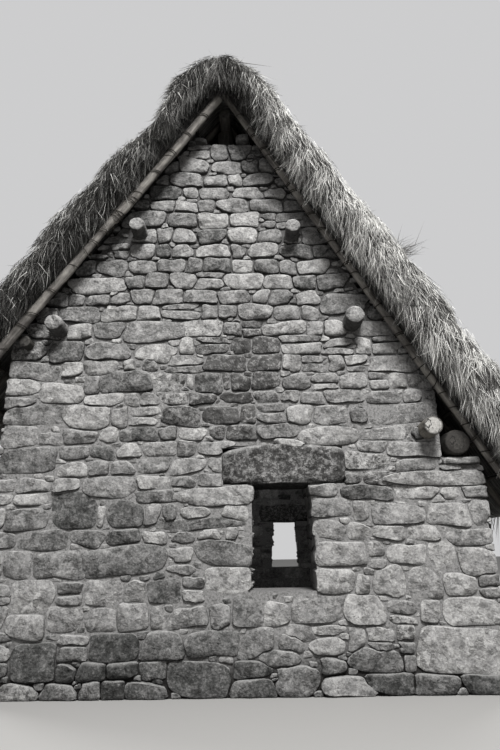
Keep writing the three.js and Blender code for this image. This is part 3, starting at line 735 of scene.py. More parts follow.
leftCorners = cutStones("left_wall_stones", rng, faces["left"], leftBoxes,
                        sideGhostsLeft + boxOfHole(doorLintel, door, -1), 14, 3, quietTones)
rightBoxes = layCourses(rng, gableCourses[:11], (-5.4, 5.4), 0.33, [], 0.02)
cutStones("right_wall_stones", rng, faces["right"], rightBoxes, sideGhostsRight, 14, 3, quietTones)
innerSet = {"frontInner": (6.98, 2.12, boxOfHole(windowLintel, frontWindow, -1)),
            "backInner": (6.98, 2.12, boxOfHole(windowLintel, backWindow)),
            "leftInner": (3.93, 4.65, boxOfHole(doorLintel, door)), "rightInner": (2.74, 4.65, [])}
for key, (top, reach, ghosts) in innerSet.items():
    boxes = layCourses(rng, evenCourses(rng, top, 0.29), (-reach, reach), 0.48, [], 0.03, 0.15)
    name = key.replace("Inner", "_inner_stones")
    cutStones(name, rng, faces[key], boxes, ghosts, 10, 3, quietTones, (0.012, 0.03))


def lineJambs(name, opening, atGable, corners):
    # Stones on the two sides of an opening, behind the corner stones of its outer face. atGable is -1 for the
    # front gable, 1 for the back one and 0 for the doorway in the left wall
    taper = (opening["foot"] - opening["top"]) / (opening["head"] - opening["sill"])
    reach = opening["foot"] + taper * opening["sill"]
    low = max(opening["sill"], 0)
    for side in (-1, 1):
        if atGable:
            origin, out, along = (opening["middle"] + side * reach, 0, 0), (-side, 0, 0), (0, -side, 0)
            sign = -side * atGable
            outer, inside = house["halfLength"] - 0.04, house["gableInner"]
            ghosts = jambGhosts(corners, atGable * -1 * opening["middle"], side * -atGable, sign)
        else:
            origin, out, along = (0, opening["middle"] + side * reach, 0), (0, -side, 0), (side, 0, 0)
            sign = -side
            outer, inside = house["halfWidth"] - 0.04, house["sideInner"]
            ghosts = [(sign * (house["halfWidth"] - d / 2), v, d / 2, h) for u, v, h, d in corners
                      if -side * u > 0.2]
        limits = [(sign, 0, outer), (-sign, 0, -inside), (0, -1, -low), (0, 1, opening["head"])]
        face = makeFace(origin, along, out, -taper, limits)
        span = sorted((sign * outer, sign * inside))
        courses = evenCourses(rng, opening["head"] - low, 0.25)
        boxes = [[u, v + low, a, b] for u, v, a, b in layCourses(rng, courses, span, 0.33, [], 0, 0.1)]
        word = "left" if side < 0 else "right"
        cutStones(f"{name}_jamb_{word}", rng, face, boxes, ghosts, 16, 3, quietTones, (0.006, 0.018))


lineJambs("front_window", frontWindow, -1, frontCorners)
lineJambs("back_window", backWindow, 1, backCorners)
lineJambs("doorway", door, 0, leftCorners)


def makeBlock(name, middle, half, material, slot, seed, power=9, chips=5, rough=0.012, size=0.12,
              replaces=None, tone=0.5, crust=0.0, rows=30, around=56, swell=None):
    # A split block: along each direction it reaches to a smooth minimum of its six sides and of a few
    # chipping planes across its corners, plus roughness. swell changes the finished points
    generator = np.random.default_rng(seed)
    lat = np.linspace(-0.5 * np.pi, 0.5 * np.pi, rows + 2)[1:-1, None]
    lon = (np.arange(around) / around * 2 * np.pi)[None, :]
    ray = np.stack([np.cos(lat) * np.cos(lon), np.cos(lat) * np.sin(lon), np.sin(lat) + 0 * lon], -1)
    normals = np.concatenate([np.eye(3), -np.eye(3)])
    offsets = np.ones(6)
    if chips:
        extra = generator.choice([-1.0, 1.0], (chips, 3)) * generator.uniform(0.2, 1, (chips, 3))
        extra /= np.linalg.norm(extra, axis=1, keepdims=True)
        normals = np.concatenate([normals, extra])
        offsets = np.concatenate([offsets, np.abs(extra).sum(1) * generator.uniform(0.84, 0.95, chips)])

    def reach(directions):
        facing = np.maximum(directions @ normals.T, 0) / offsets
        return (facing ** power).sum(-1) ** (-1 / power)

    def shaped(directions):
        points = directions * reach(directions)[..., None] * np.array(half)
        outward = directions / np.linalg.norm(directions, axis=-1, keepdims=True)
        points = points + outward * (rough * lumps(points + seed, size, seed, 3))[..., None]
        return (swell(points) if swell else points) + np.array(middle)

    grid = shaped(ray)
    poles = shaped(np.array([[0, 0, -1.0], [0, 0, 1.0]]))
    points = np.concatenate([grid.reshape(-1, 3), poles])
    total = rows * around
    shell = [ringFaces(1, rows, around), fanFaces(1, 0, total, around, np.array([total]), True),
             fanFaces(1, total - around, total, around, np.array([total + 1]))]
    count = len(points)
    values = {"tone": np.full(count, tone), "rim": np.zeros(count), "crust": np.full(count, crust)}
    piece = makePiece(name, points, shell, material, values, True, 40)
    if replaces:
        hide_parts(replaces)
    return piece


def arched(points):  # a lintel's back rises in the middle, its left end is lower and its foot is flat
    x, z = points[:, :, 0] if points.ndim == 3 else points[:, 0], points[..., 2]
    rise = 0.03 * (1 - (x / 0.72) ** 2) - 0.022 * np.clip((-x - 0.30) / 0.42, 0, 1) ** 1.5
    z = np.where(z > 0, z * (0.98 + rise / 0.21), z)
    return np.stack([x, points[..., 1], z], -1)


darkLintel = graniteMaterial("granite lintel, dark with lichen", 0.92, 0.9)
lintelForm = {
    "window": {"power": 18, "chips": 5, "rough": 0.014, "size": 0.2, "tone": 0.55, "crust": 0.6, "rows": 26,
               "around": 64},
    "door": {"power": 10, "chips": 6, "rough": 0.014, "size": 0.2, "tone": 0.42, "crust": 0.4},
}
lintelMiddle = (windowLintel["left"] + windowLintel["right"]) / 2
lintelHalf = (windowLintel["right"] - windowLintel["left"]) / 2
for prefix, face, opening in (("front", -1, frontWindow), ("back", 1, backWindow)):
    outer = house["halfLength"] - 2.47 * house["gableBatter"] + 0.06
    depth = (outer - house["gableInner"] + 0.015) / 2
    middle = (opening["middle"] + lintelMiddle, face * (outer - depth), opening["head"] + 0.222)
    half = (lintelHalf + 0.02, depth, 0.226)
    makeBlock(f"{prefix}_lintel_block", middle, half, darkLintel, "lintel", 3 + face,
              replaces=f"{prefix}_window_lintel", swell=arched, **lintelForm["window"])
outer = house["halfWidth"] - 1.9 * house["sideBatter"] + 0.05
depth = (outer - house["sideInner"] + 0.015) / 2
middle = (-(outer - depth), 0.02, door["head"] + doorLintel["height"] / 2)
makeBlock("door_lintel_block", middle, (depth, 0.84, doorLintel["height"] / 2), darkLintel, "lintel", 12,
          replaces="left_door_lintel", **lintelForm["door"])


def pointJoints():
    # Mud pressed into the joints of the front gable: a lumpy sheet from the ground to the rakes that lies
    # about level with the stones low down and falls back higher up and in the lowest courses
    rows, columns = 132, 104
    v = np.linspace(0.004, house["gableTop"] - 0.03, rows)[:, None]
    left = np.maximum(-house["halfWidth"] + v * house["sideBatter"],
                      [[onSlope(leftSlope, (ridge["z"] - z) / math.sin(leftSlope["pitch"]), 0)[0] + 0.06]
                       for z in v[:, 0]])
    right = np.minimum(house["halfWidth"] - v * house["sideBatter"],
                       [[onSlope(rightSlope, (ridge["z"] - z) / math.sin(rightSlope["pitch"]), 0)[0] - 0.07]
                        for z in v[:, 0]])
    right = np.where(v > 2.42, np.minimum(right, 2.39), right)
    u = left + (right - left) * np.linspace(0, 1, columns)[None, :]
    v = v + 0 * u
    grain = np.stack([u, v, 0 * u], -1)
    level = 0.018 * np.clip((v - 0.30) / 0.35, 0, 1) - 0.018 * np.clip((v - 3.3) / 1.2, 0, 1)
    d = level + 0.006 * lumps(grain, 0.35, 41, 2) + 0.003 * lumps(grain, 0.07, 42, 2)
    edge = np.minimum(np.minimum(np.arange(columns), np.arange(columns)[::-1])[None, :],
                      np.minimum(np.arange(rows), np.arange(rows)[::-1])[:, None])
    d = np.where(edge == 0, -0.02, d)
    face = faces["front"]
    points = placeOnFace(face, u, v, d).reshape(-1, 3)
    i, j = np.meshgrid(np.arange(rows - 1), np.arange(columns - 1), indexing="ij")
    a = i * columns + j
    middleU, middleV = (u[:-1, :-1] + u[1:, 1:]) / 2, (v[:-1, :-1] + v[1:, 1:]) / 2
    keep = np.ones(middleU.shape, bool)
    for hole in face["holes"][:2]:
        within = np.ones(middleU.shape, bool)
        for p, q, c, _ in hole:
            within &= p * middleU + q * middleV <= c
        keep &= ~within
    for x, z, r in pegPlaces + logEnds:
        keep &= np.hypot(middleU - x, middleV - z) > r * 0.9
    quads = np.stack([a, a + 1, a + columns + 1, a + columns], -1)[keep]
    makePiece("front_gable_pointing", points, [quads], mud)


pointJoints()
print("walls made")

# Thatch

thatchSet = {
    "end": 5.93, "round": 0.27,  # how far the roof reaches along Y, and how its verges are rounded
    "under": 0.131,  # h of the underside
    "left": {"first": 0.95, "last": 5.58, "courses": 4, "thin": 0.32, "thick": 0.43,
             "swell": 0.07, "swollen": (1.2, 2.4, 3.6, 4.8)},
    "right": {"first": 0.85, "last": 6.79, "courses": 5, "thin": 0.41, "thick": 0.52,
              "swell": 0.12, "swollen": (1.8, 3.8, 5.4, 6.5)},
    "crown": {"x": -0.21, "z": 7.14, "radius": 0.74},
}


def slopeProfile(slope, values, count):
    # Points down a slope from its first course to the eave, on the upper side, whose courses thicken
    # downwards and end in a soft step, and on the level underside
    s = np.linspace(values["first"], values["last"], count)
    step = (s - values["first"]) / (values["last"] - values["first"]) * values["courses"]
    part = np.clip(step % 1, 0, 1)
    lift = np.where(part < 0.86, part / 0.86, (1 - part) / 0.14)
    h = values["thin"] + (values["thick"] - values["thin"]) * lift
    h = h + values["swell"] * np.interp(s, values["swollen"], (0, 1, 1, 0))  # fuller in the slope's middle
    closing = np.sqrt(np.clip(1 - ((s - (values["last"] - 0.22)).clip(0) / 0.225) ** 2, 0, 1))
    middle = (h + thatchSet["under"]) / 2 + 0.02
    upper = middle + (h - middle) * closing
    lower = middle + (thatchSet["under"] - middle) * closing
    return np.stack(onSlope(slope, s, upper), -1), np.stack(onSlope(slope, s, lower), -1)


def roofProfile():
    # The whole section from the left eave over the crown to the right eave: matching upper and lower points
    leftUpper, leftLower = slopeProfile(leftSlope, thatchSet["left"], 52)
    rightUpper, rightLower = slopeProfile(rightSlope, thatchSet["right"], 62)
    crown = thatchSet["crown"]
    angle = np.radians(np.linspace(156, 24, 26))
    arc = np.stack([np.cos(angle), np.sin(angle)], -1) * crown["radius"] + (crown["x"], crown["z"])
    share = np.linspace(0, 1, 26)
    bend = [leftLower[0], (-0.265, 7.65), (-0.043, 7.65), rightLower[0]]
    bend = np.array([list(p) for p in bend])
    soffit = np.stack([np.interp(share, (0, 0.42, 0.58, 1), bend[:, k]) for k in range(2)], -1)
    upper = np.concatenate([leftUpper[::-1], arc, rightUpper])
    lower = np.concatenate([leftLower[::-1], soffit, rightLower])
    for _ in range(2):
        upper[1:-1] = 0.25 * upper[:-2] + 0.5 * upper[1:-1] + 0.25 * upper[2:]
    return upper, lower


roofUpper, roofLower = roofProfile()
roofLength = np.concatenate([[0], np.cumsum(np.hypot(*np.diff(roofUpper, axis=0).T))])
roofFlow = np.gradient(roofUpper, axis=0)
roofFlow /= np.linalg.norm(roofFlow, axis=1, keepdims=True)
# Straw runs down from the crown to each side
roofTop = int(np.argmax(roofUpper[:, 1]))
downWay = np.where(np.arange(len(roofUpper))[:, None] < roofTop, -1, 1) * roofFlow


def atRoof(t, array):  # a value of the profile at a length along it
    return np.stack([np.interp(t, roofLength, array[:, k]) for k in range(array.shape[1])], -1)


def unit(vectors):
    return vectors / np.maximum(np.linalg.norm(vectors, axis=-1, keepdims=True), 1e-9)


def roofWay(t):  # the way down a slope, as x, y, z
    flow = unit(atRoof(t, downWay))
    return np.stack([flow[:, 0], 0 * t, flow[:, 1]], -1)


def roofSquare(t):  # the way out of the roof, square to it
    lift = unit(atRoof(t, roofUpper) - atRoof(t, roofLower))
    return np.stack([lift[:, 0], 0 * t, lift[:, 1]], -1)


def roofPoint(t, share, y):
    # A point of the thatch: t along the profile, share from -1 at the underside to 1 on top, at y, with lumps
    upper, lower = atRoof(t, roofUpper), atRoof(t, roofLower)
    middle, half = (upper + lower) / 2, (upper - lower) / 2
    flat = middle + half * share[..., None]
    place = np.stack([flat[..., 0], y, flat[..., 1]], -1)
    swell = 0.058 * lumps(place, 0.55, 21, 2) + 0.032 * lumps(place, 0.19, 22, 2)
    fade = np.clip(share, 0.15, 1)
    outward = half / np.maximum(np.linalg.norm(half, axis=-1, keepdims=True), 1e-6)
    return place + np.stack([outward[..., 0], 0 * y, outward[..., 1]], -1) * (swell * fade)[..., None]


def makeThatchBody():
    # The profile is carried along Y. At the verges its thickness follows a quarter circle down to nothing
    edge, radius = thatchSet["end"] - thatchSet["round"], thatchSet["round"]
    turn = np.radians([0, 20, 38, 54, 68, 79, 86.5, 90])
    middle = np.linspace(-edge, edge, 70)[1:-1]
    y = np.concatenate([-edge - radius * np.sin(turn[::-1]), middle, edge + radius * np.sin(turn)])
    shrink = np.concatenate([np.cos(turn[::-1]), np.ones(len(middle)), np.cos(turn)])
    t = roofLength
    rows, half = len(y), len(t)
    around = 2 * half
    allT = np.concatenate([t, t[::-1]])
    share = np.concatenate([np.ones(half), -np.ones(half)])
    points = roofPoint(np.broadcast_to(allT, (rows, around)), share[None] * shrink[:, None],
                       np.broadcast_to(y[:, None], (rows, around)))
    points[:, :, 1] += 0.03 * lumps(points, 0.3, 23, 2) * (1 - shrink[:, None])
    # The face of the verge is painted darker, as shade, and is darker still on the left, and the slopes are
    # bleached
    tone = 0.26 + 0.10 * np.clip(points[:, :, 0] / 0.8, 0, 1)
    tone += (0.56 - tone) * np.clip((thatchSet["end"] - 0.02 - np.abs(points[:, :, 1])) / radius, 0, 1)
    index = ringFaces(1, rows, around)
    piece = makePiece("thatch_body", points, [index], straw,
                      {"tone": tone.ravel(), "tip": np.full(rows * around, 0.25),
                       "along": np.broadcast_to(allT, (rows, around)).ravel(),
                       "across": points[:, :, 1].ravel()})
    work = bmesh.new()
    work.from_mesh(piece.data)
    bmesh.ops.remove_doubles(work, verts=work.verts, dist=0.002)
    bmesh.ops.dissolve_degenerate(work, edges=work.edges, dist=0.0005)
    if work.calc_volume(signed=True) < 0:
        bmesh.ops.reverse_faces(work, faces=work.faces)
    work.to_mesh(piece.data)
    work.free()
    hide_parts("left_thatch", "right_thatch", "ridge_thatch")


def makeStraws(name, root, way, length, width, droop, tone):
    # Closed stems: a triangle at the root that narrows to a tip
    count = len(root)
    generator = np.random.default_rng(count)
    aside = unit(np.cross(way, generator.normal(0, 1, (count, 3))))
    up = np.cross(way, aside)
    angle = np.arange(3) * 2 * np.pi / 3
    circle = aside[:, None] * np.cos(angle)[None, :, None] + up[:, None] * np.sin(angle)[None, :, None]
    ring = root[:, None] + circle * (width / 2)[:, None, None]
    tip = root + way * length[:, None] + droop
    points = np.concatenate([ring.reshape(-1, 3), tip])
    shell = [fanFaces(count, 0, 3, 3, count * 3 + np.arange(count)),
             np.arange(count)[:, None] * 3 + np.array([2, 1, 0])]
    values = {"tone": np.concatenate([np.repeat(tone, 3), tone]),
              "tip": np.concatenate([np.zeros(3 * count), np.ones(count)])}
    print(name, count, "straws", count * 4, "triangles")
    return makePiece(name, points, shell, strawBlades, values, False)


vergeSet = {
    "left": {"tufts": 1540, "straws": 20, "along": 0.42, "fall": 0.78, "scatter": 0.38, "tone": -0.19,
             "hang": 0.55, "courseShade": 0.34, "spread": 0.23, "bleached": 0.10},
    "right": {"tufts": 1540, "straws": 20, "along": 0.36, "fall": 0.82, "scatter": 0.32, "tone": 0.25,
              "hang": 0.85, "courseShade": 0.50, "spread": 0.17, "bleached": 0.06},
    "length": (0.08, 0.18), "width": (0.004, 0.008), "droop": 0.05, "own": 1.15, "out": 0.22,
    "course": 0.42, "lip": 0.075,  # length of a course of straw, and how far its edge overhangs the next
    "backTufts": 400, "backStraws": 16,  # the far gable isn't seen close
}
fringeSet = {"reach": 0.75, "length": (0.14, 0.34), "width": (0.004, 0.010), "droop": 0.05, "tone": 0.34}
slopeSet = {"tufts": {"left": 2300, "right": 2800}, "straws": 3, "length": (0.3, 0.5),
            "width": (0.010, 0.018), "droop": 0.06, "tone": 0.5}
eaveSet = {"straws": 2200, "length": (0.12, 0.21), "width": (0.010, 0.017), "droop": 0.06, "tone": 0.42}
wispSet = {"place": (2.02, -5.76, 5.02), "size": (0.07, 0.05, 0.05), "way": (0.75, -0.15, 0.62),
           "straws": 110, "length": (0.10, 0.34), "width": (0.004, 0.007), "tone": 0.45}


def drawVerge(name, side, face, tufts, straws, seed):
    # Tufts of straw over the rounded end of the roof: each straw starts near its tuft's root on the surface
    # and runs down the slope, down and outwards, by the shares in vergeSet, with a scatter for the tuft and
    # itself
    values = vergeSet[side]
    generator = np.random.default_rng(seed)
    top = roofLength[roofTop]
    span = (0.05, top + 0.15) if side == "left" else (top - 0.15, roofLength[-1] - 0.05)
    edge, radius = thatchSet["end"] - thatchSet["round"], thatchSet["round"]
    tuftT = generator.uniform(*span, tufts)
    tuftTurn = -1.5 + 3.9 * generator.random(tufts) ** 1.08  # denser towards the poles
    tuftTone = generator.normal(0, 0.13, tufts) + values["tone"]
    tuftWay = generator.normal(0, values["scatter"] * 0.8, (tufts, 3))
    tuftLift = generator.uniform(-0.02, 0.045, tufts)
    # Place within a course, from 0 at its upper edge to 1 at the lower one. The courses' edges are about
    # level
    sign = 1 if side == "left" else -1
    level = tuftT + sign * 0.13 * (np.sin(tuftTurn) + 1)
    shift = lumps(np.stack([tuftT, tuftTurn, 0 * tuftT], -1), 0.7, seed, 1)
    part = (level / vergeSet["course"] + 0.3 * shift) % 1
    part = 1 - part if side == "left" else part
    # Painted shade: each course is darker at its upper part, under the lip of the course above, and paler at
    # its lower edge
    tuftTone += values["courseShade"] * (part - 0.5)
    tuftLift += vergeSet["lip"] * (part ** 2 - 0.1)
    which = np.repeat(np.arange(tufts), straws)
    count = len(which)
    t = np.clip(tuftT[which] + generator.normal(0, 0.09, count), span[0], span[1])
    turn = tuftTurn[which] + generator.normal(0, 0.30, count)
    past = np.clip(turn - np.pi / 2, 0, None) * 0.75  # beyond the edge the surface is the roof's top
    turn = np.minimum(turn, np.pi / 2)
    y = face * (edge + radius * np.cos(turn) - past)
    root = roofPoint(t, np.sin(turn), y)
    outward = roofSquare(t) * np.sin(turn)[:, None] + np.array([0, face, 0]) * np.cos(turn)[:, None]
    flow = roofWay(t)
    onTop = np.clip(np.sin(turn), 0, 1)
    # Under the crown the straw hangs almost straight down over the open top of the gable
    hang = np.exp(-((t - roofLength[roofTop]) / 0.55) ** 2) * (1 - onTop)
    fall = values["fall"] * (1 - 0.75 * onTop ** 3) + 0.5 * hang
    way = flow * (values["along"] * (1 - 0.8 * hang))[:, None] + np.array([0, 0, -1.0]) * fall[:, None]
    way = way + outward * (vergeSet["out"] * generator.uniform(0.2, 1.6, count))[:, None]
    # Below the rounded end the straw hangs down in front of the poles
    under = values["hang"] * np.clip(-1.8 * np.sin(turn), 0, 1)[:, None]
    way = way * (1 - under) + (np.array([0, face * 0.08, -1.0]) + 0.22 * flow) * under
    way = unit(way + tuftWay[which] + generator.normal(0, values["scatter"] * vergeSet["own"], (count, 3)))
    # Straw never points into the roof, and few stems stand far out of it
    into = np.sum(way * outward, 1)
    wanted = 0.02 + 0.26 * np.tanh(np.clip(into - 0.03, 0, None) / 0.45)
    way = unit(way + outward * (wanted - into)[:, None] * (1 - under))
    root = root + outward * (tuftLift[which] - 0.035)[:, None]
    length = generator.uniform(*vergeSet["length"], count) * (1 + 0.35 * hang) * (1 - 0.3 * onTop)
    length = length * (1 + 0.6 * under[:, 0])
    width = generator.uniform(*vergeSet["width"], count)
    droop = np.array([0, 0, -1.0]) * (vergeSet["droop"] * generator.uniform(0.1, 1.4, count))[:, None]
    droop = droop * (1 - 0.6 * onTop)[:, None]
    # Painted shade darkens the inner edge, under the roof, and the outer edge is paler as it bleaches
    tone = 0.44 + tuftTone[which] + generator.normal(0, values["spread"], count) + 0.06 * np.sin(turn)
    tone = tone + 0.30 * (generator.random(count) < values["bleached"])  # a few stems are bleached white
    # Painted shade: the straw is darker near the crown, under the roof's front
    tone = tone - (0.32 + values["tone"] * 0.6) * np.exp(-((t - top) / 0.9) ** 2)
    return makeStraws(name, root, way, length, width, droop, tone)


def drawCrownFringe(name, face, tufts, straws, seed):
    # Straw that hangs from the front edge of the roof's underside, over the ends of the verge poles
    generator = np.random.default_rng(seed)
    tuftT = roofLength[roofTop] + generator.uniform(-fringeSet["reach"], fringeSet["reach"], tufts)
    which = np.repeat(np.arange(tufts), straws)
    count = len(which)
    t = tuftT[which] + generator.normal(0, 0.04, count)
    share = generator.uniform(-1.0, -0.1, count)
    y = face * (thatchSet["end"] - 0.02 - 0.16 * generator.uniform(0, 1, count) ** 1.5)
    root = roofPoint(t, share * 0.75, y)
    flow = roofWay(t)
    way = unit(np.array([0, face * 0.10, -1.0]) + 0.35 * flow + generator.normal(0, 0.14, (tufts, 3))[which]
               + generator.normal(0, 0.12, (count, 3)))
    length = generator.uniform(*fringeSet["length"], count)
    width = generator.uniform(*fringeSet["width"], count)
    droop = np.array([0, 0, -1.0]) * generator.uniform(0, fringeSet["droop"], count)[:, None]
    tone = fringeSet["tone"] + generator.normal(0, 0.18, tufts)[which] + generator.normal(0, 0.12, count)
    return makeStraws(name, root, way, length, width, droop, tone)


def drawStray():
    # A loose wisp that the wind has lifted from the right verge
    generator = np.random.default_rng(77)
    count = wispSet["straws"]
    root = np.array(wispSet["place"]) + generator.normal(0, 1, (count, 3)) * np.array(wispSet["size"])
    way = unit(np.array(wispSet["way"]) + generator.normal(0, 0.30, (count, 3)))
    length = generator.uniform(*wispSet["length"], count)
    droop = np.array([0.03, 0, -0.07]) * generator.uniform(0, 1.3, count)[:, None]
    width = generator.uniform(*wispSet["width"], count)
    tone = wispSet["tone"] + generator.normal(0, 0.12, count)
    makeStraws("front_right_stray_wisp", root, way, length, width, droop, tone)


def drawTop(name, side, tufts, straws, seed):
    # Coarser straw over the whole of one slope, lying down it
    generator = np.random.default_rng(seed)
    top = roofLength[roofTop]
    span = (0.0, top + 0.1) if side == "left" else (top - 0.1, roofLength[-1])
    edge = thatchSet["end"] - 0.1
    tuftT = generator.uniform(*span, tufts)
    tuftY = generator.uniform(-edge, edge, tufts)
    which = np.repeat(np.arange(tufts), straws)
    count = len(which)
    t = np.clip(tuftT[which] + generator.normal(0, 0.1, count), *span)
    y = np.clip(tuftY[which] + generator.normal(0, 0.09, count), -edge, edge)
    root = roofPoint(t, np.ones(count), y)
    flow = roofWay(t)
    square = roofSquare(t)
    way = unit(flow + square * generator.uniform(0.0, 0.08, count)[:, None]
               + generator.normal(0, 0.07, (tufts, 3))[which] + generator.normal(0, 0.05, (count, 3)))
    length = generator.uniform(*slopeSet["length"], count)
    width = generator.uniform(*slopeSet["width"], count)
    droop = np.array([0, 0, -1.0]) * generator.uniform(0, slopeSet["droop"], count)[:, None]
    tone = slopeSet["tone"] + generator.normal(0, 0.08, tufts)[which] + generator.normal(0, 0.12, count)
    return makeStraws(name, root - square * 0.03, way, length, width, droop, tone)


def drawEave(name, side, count, seed):
    # Straw ends that hang out of an eave
    generator = np.random.default_rng(seed)
    t = generator.uniform(0, 0.25, count)
    t = t if side == "left" else roofLength[-1] - t
    y = generator.uniform(-5.75, 5.75, count)
    share = generator.uniform(-0.8, 0.9, count)
    root = roofPoint(t, share, y)
    flow = roofWay(t)
    way = unit(flow + np.array([0, 0, -0.5]) + generator.normal(0, 0.14, (count, 3)))
    length = generator.uniform(*eaveSet["length"], count)
    width = generator.uniform(*eaveSet["width"], count)
    droop = np.array([0, 0, -1.0]) * generator.uniform(0, eaveSet["droop"], count)[:, None]
    tone = eaveSet["tone"] + generator.normal(0, 0.13, count)
    return makeStraws(name, root - flow * 0.16, way, length, width, droop, tone)


def strawMaterial(name, body):
    # Bundled grass, bleached on top and painted dark below, as shade. Dry stems give fine pale streaks over
    # dark gaps. In the
    # body's pattern stems of 3 mm are drawn 22 mm wide, to show at all
    material, tree, shader = startMaterial(name, 0.85, 0.15)
    tone = addNode(tree, "Attribute", {"attribute_name": "tone"}, output="Fac")
    tip = addNode(tree, "Attribute", {"attribute_name": "tip"}, output="Fac")
    place = addNode(tree, "TexCoord", output="Object")
    if body:
        along = addNode(tree, "Attribute", {"attribute_name": "along"}, output="Fac")
        across = addNode(tree, "Attribute", {"attribute_name": "across"}, output="Fac")
        surface = addNode(tree, "CombineXYZ", None, (along, across))
        stems = addPattern(tree, surface, 22, 4, 0.75, (0.06, 1, 1))
        bundles = addPattern(tree, surface, 70, 4, 0.7, (0.12, 1, 1))
        clumps = addPattern(tree, surface, 260, 4, 0.6, (0.5, 1, 1))
        tangle = addPattern(tree, place, 16, 5, 0.8)
        value = addNode(tree, "Math", minus, (tone, 1.4))
        for pattern, weight in ((stems, 0.9), (bundles, 0.9), (clumps, 0.5), (tangle, 0.5)):
            value = addNode(tree, "Math", timesPlus, (pattern, weight, value))
        height = addNode(tree, "Math", plus, (stems, tangle))
        height = addNode(tree, "Math", plus, (height, bundles))
        normal = addNode(tree, "Bump", None, {"Height": height, "Distance": 0.03, "Strength": 1.0})
        tree.links.new(normal, shader.inputs["Normal"])
    else:
        value = tone
        for pattern, weight in ((addPattern(tree, place, 500, 3, 0.6), 0.5), (tip, 0.12)):
            centred = addNode(tree, "Math", minus, (pattern, 0.5))
            value = addNode(tree, "Math", timesPlus, (centred, weight, value))
    color = addNode(tree, "ValToRGB", {"stops": [(0.0, "#090908"), (0.3, "#292826"), (0.55, "#595856"),
                                                 (0.78, "#8f8e8b"), (1.0, "#c3c2be")]}, (value,))
    tree.links.new(color, shader.inputs["Base Color"])
    return material


straw = strawMaterial("grass thatch, packed", True)
strawBlades = strawMaterial("grass thatch, loose stems", False)
makeThatchBody()
for number, side in enumerate(("left", "right")):
    tufts, straws = vergeSet[side]["tufts"], vergeSet[side]["straws"]
    drawVerge(f"front_{side}_verge_straw", side, -1, tufts, straws, 31 + number)
    drawVerge(f"back_{side}_verge_straw", side, 1, vergeSet["backTufts"], vergeSet["backStraws"], 41 + number)
    drawTop(f"{side}_slope_straw", side, slopeSet["tufts"][side], slopeSet["straws"], 51 + number)
    drawEave(f"{side}_eave_straw", side, eaveSet["straws"], 61 + number)
for face, word in ((-1, "front"), (1, "back")):
    drawCrownFringe(f"{word}_crown_straw", face, 120 if face < 0 else 60, 22, 70 + face)
drawStray()
print("thatch made")

# Poles, logs, pegs and rope


def makeRounds(name, items, material, around, rings, rough, size, cap="sawn", replaces=()):
    # Round pieces along straight or slightly bowed axes. items holds start, end, radius at each end, bow
    # and tone. Rings stand square to the axis, are pushed in and out by noise, and close over each end in a
    # cap
    generator = np.random.default_rng(len(items) + around + rings)
    starts = np.array([item[0] for item in items], float)
    ends = np.array([item[1] for item in items], float)
    radii = np.array([item[2:4] for item in items], float)
    bow = np.array([item[4] for item in items], float)
    tones = np.array([item[5] for item in items], float)
    count = len(items)
    length = np.linalg.norm(ends - starts, axis=1)
    axis = (ends - starts) / length[:, None]
    helper = np.where(np.abs(axis[:, 2:3]) > 0.9, np.array([[1.0, 0, 0]]), np.array([[0, 0, 1.0]]))
    a = np.cross(helper, axis)
    a /= np.linalg.norm(a, axis=1, keepdims=True)
    b = np.cross(axis, a)
    caps = {"sawn": [(0.5, 0.0), (0.955, 0.0), (1.0, 0.045)],
            "worn": [(0.5, 0.0), (0.86, 0.03), (0.96, 0.09), (1.0, 0.22)]}[cap]
    inner = np.linspace(0, 1, rings)
    capShare = np.array([c[0] for c in caps])
    capPush = np.array([c[1] for c in caps])
    t = np.concatenate([np.zeros(len(caps)), inner[1:-1], np.ones(len(caps))])
    share = np.concatenate([capShare, np.ones(rings - 2), capShare[::-1]])
    push = np.concatenate([capPush, np.zeros(rings - 2), -capPush[::-1]])
    total = len(t)
    radius = (radii[:, :1] + (radii[:, 1:] - radii[:, :1]) * t[None]) * share[None]
    along = t[None] * length[:, None] + push[None] * radii.mean(1)[:, None]
    sag = np.sin(np.pi * along / length[:, None])[..., None] * bow[:, None]
    centre = starts[:, None] + axis[:, None] * along[..., None] + sag
    angle = np.arange(around) / around * 2 * np.pi
    offset = generator.uniform(0, 40, count)
    across = radius[..., None]
    grain = np.stack(np.broadcast_arrays(along[..., None] + offset[:, None, None], across * np.cos(angle),
                                         across * np.sin(angle)), -1)
    swell = rough * lumps(grain * np.array([0.45, 1, 1]), size, 71, 3)
    swell = swell * np.minimum(share, 1)[None, :, None] ** 2
    outward = a[:, None, None] * np.cos(angle)[:, None] + b[:, None, None] * np.sin(angle)[:, None]
    points = centre[:, :, None] + outward * (radius[..., None] + swell)[..., None]
    tips = np.stack([starts, ends], 1).reshape(-1, 3)
    tipGrain = np.stack([np.stack([offset, 0 * offset, 0 * offset], -1)] * 2, 1).reshape(-1, 3)
    body = total * around
    firstTip = count * body
    shell = [ringFaces(count, total, around),
             fanFaces(count, body - around, body, around, firstTip + 1 + 2 * np.arange(count)),
             fanFaces(count, 0, body, around, firstTip + 2 * np.arange(count), True)]
    atEnd = capShare < 0.96
    isEnd = np.concatenate([atEnd, np.zeros(rings - 2, bool), atEnd[::-1]]).astype(float)
    values = {key: np.concatenate([np.repeat(value, body), np.repeat(value, 2)])
              for key, value in (("tone", tones), ("crust", 0 * tones), ("rim", 0 * tones))}
    values["end"] = np.concatenate([np.tile(np.repeat(isEnd, around), count), np.ones(2 * count)])
    values["grain"] = np.concatenate([grain.reshape(-1, 3), tipGrain])
    points = np.concatenate([points.reshape(-1, 3), tips])
    piece = makePiece(name, points, shell, material, values, True, 50)
    if replaces:
        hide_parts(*replaces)
    return piece


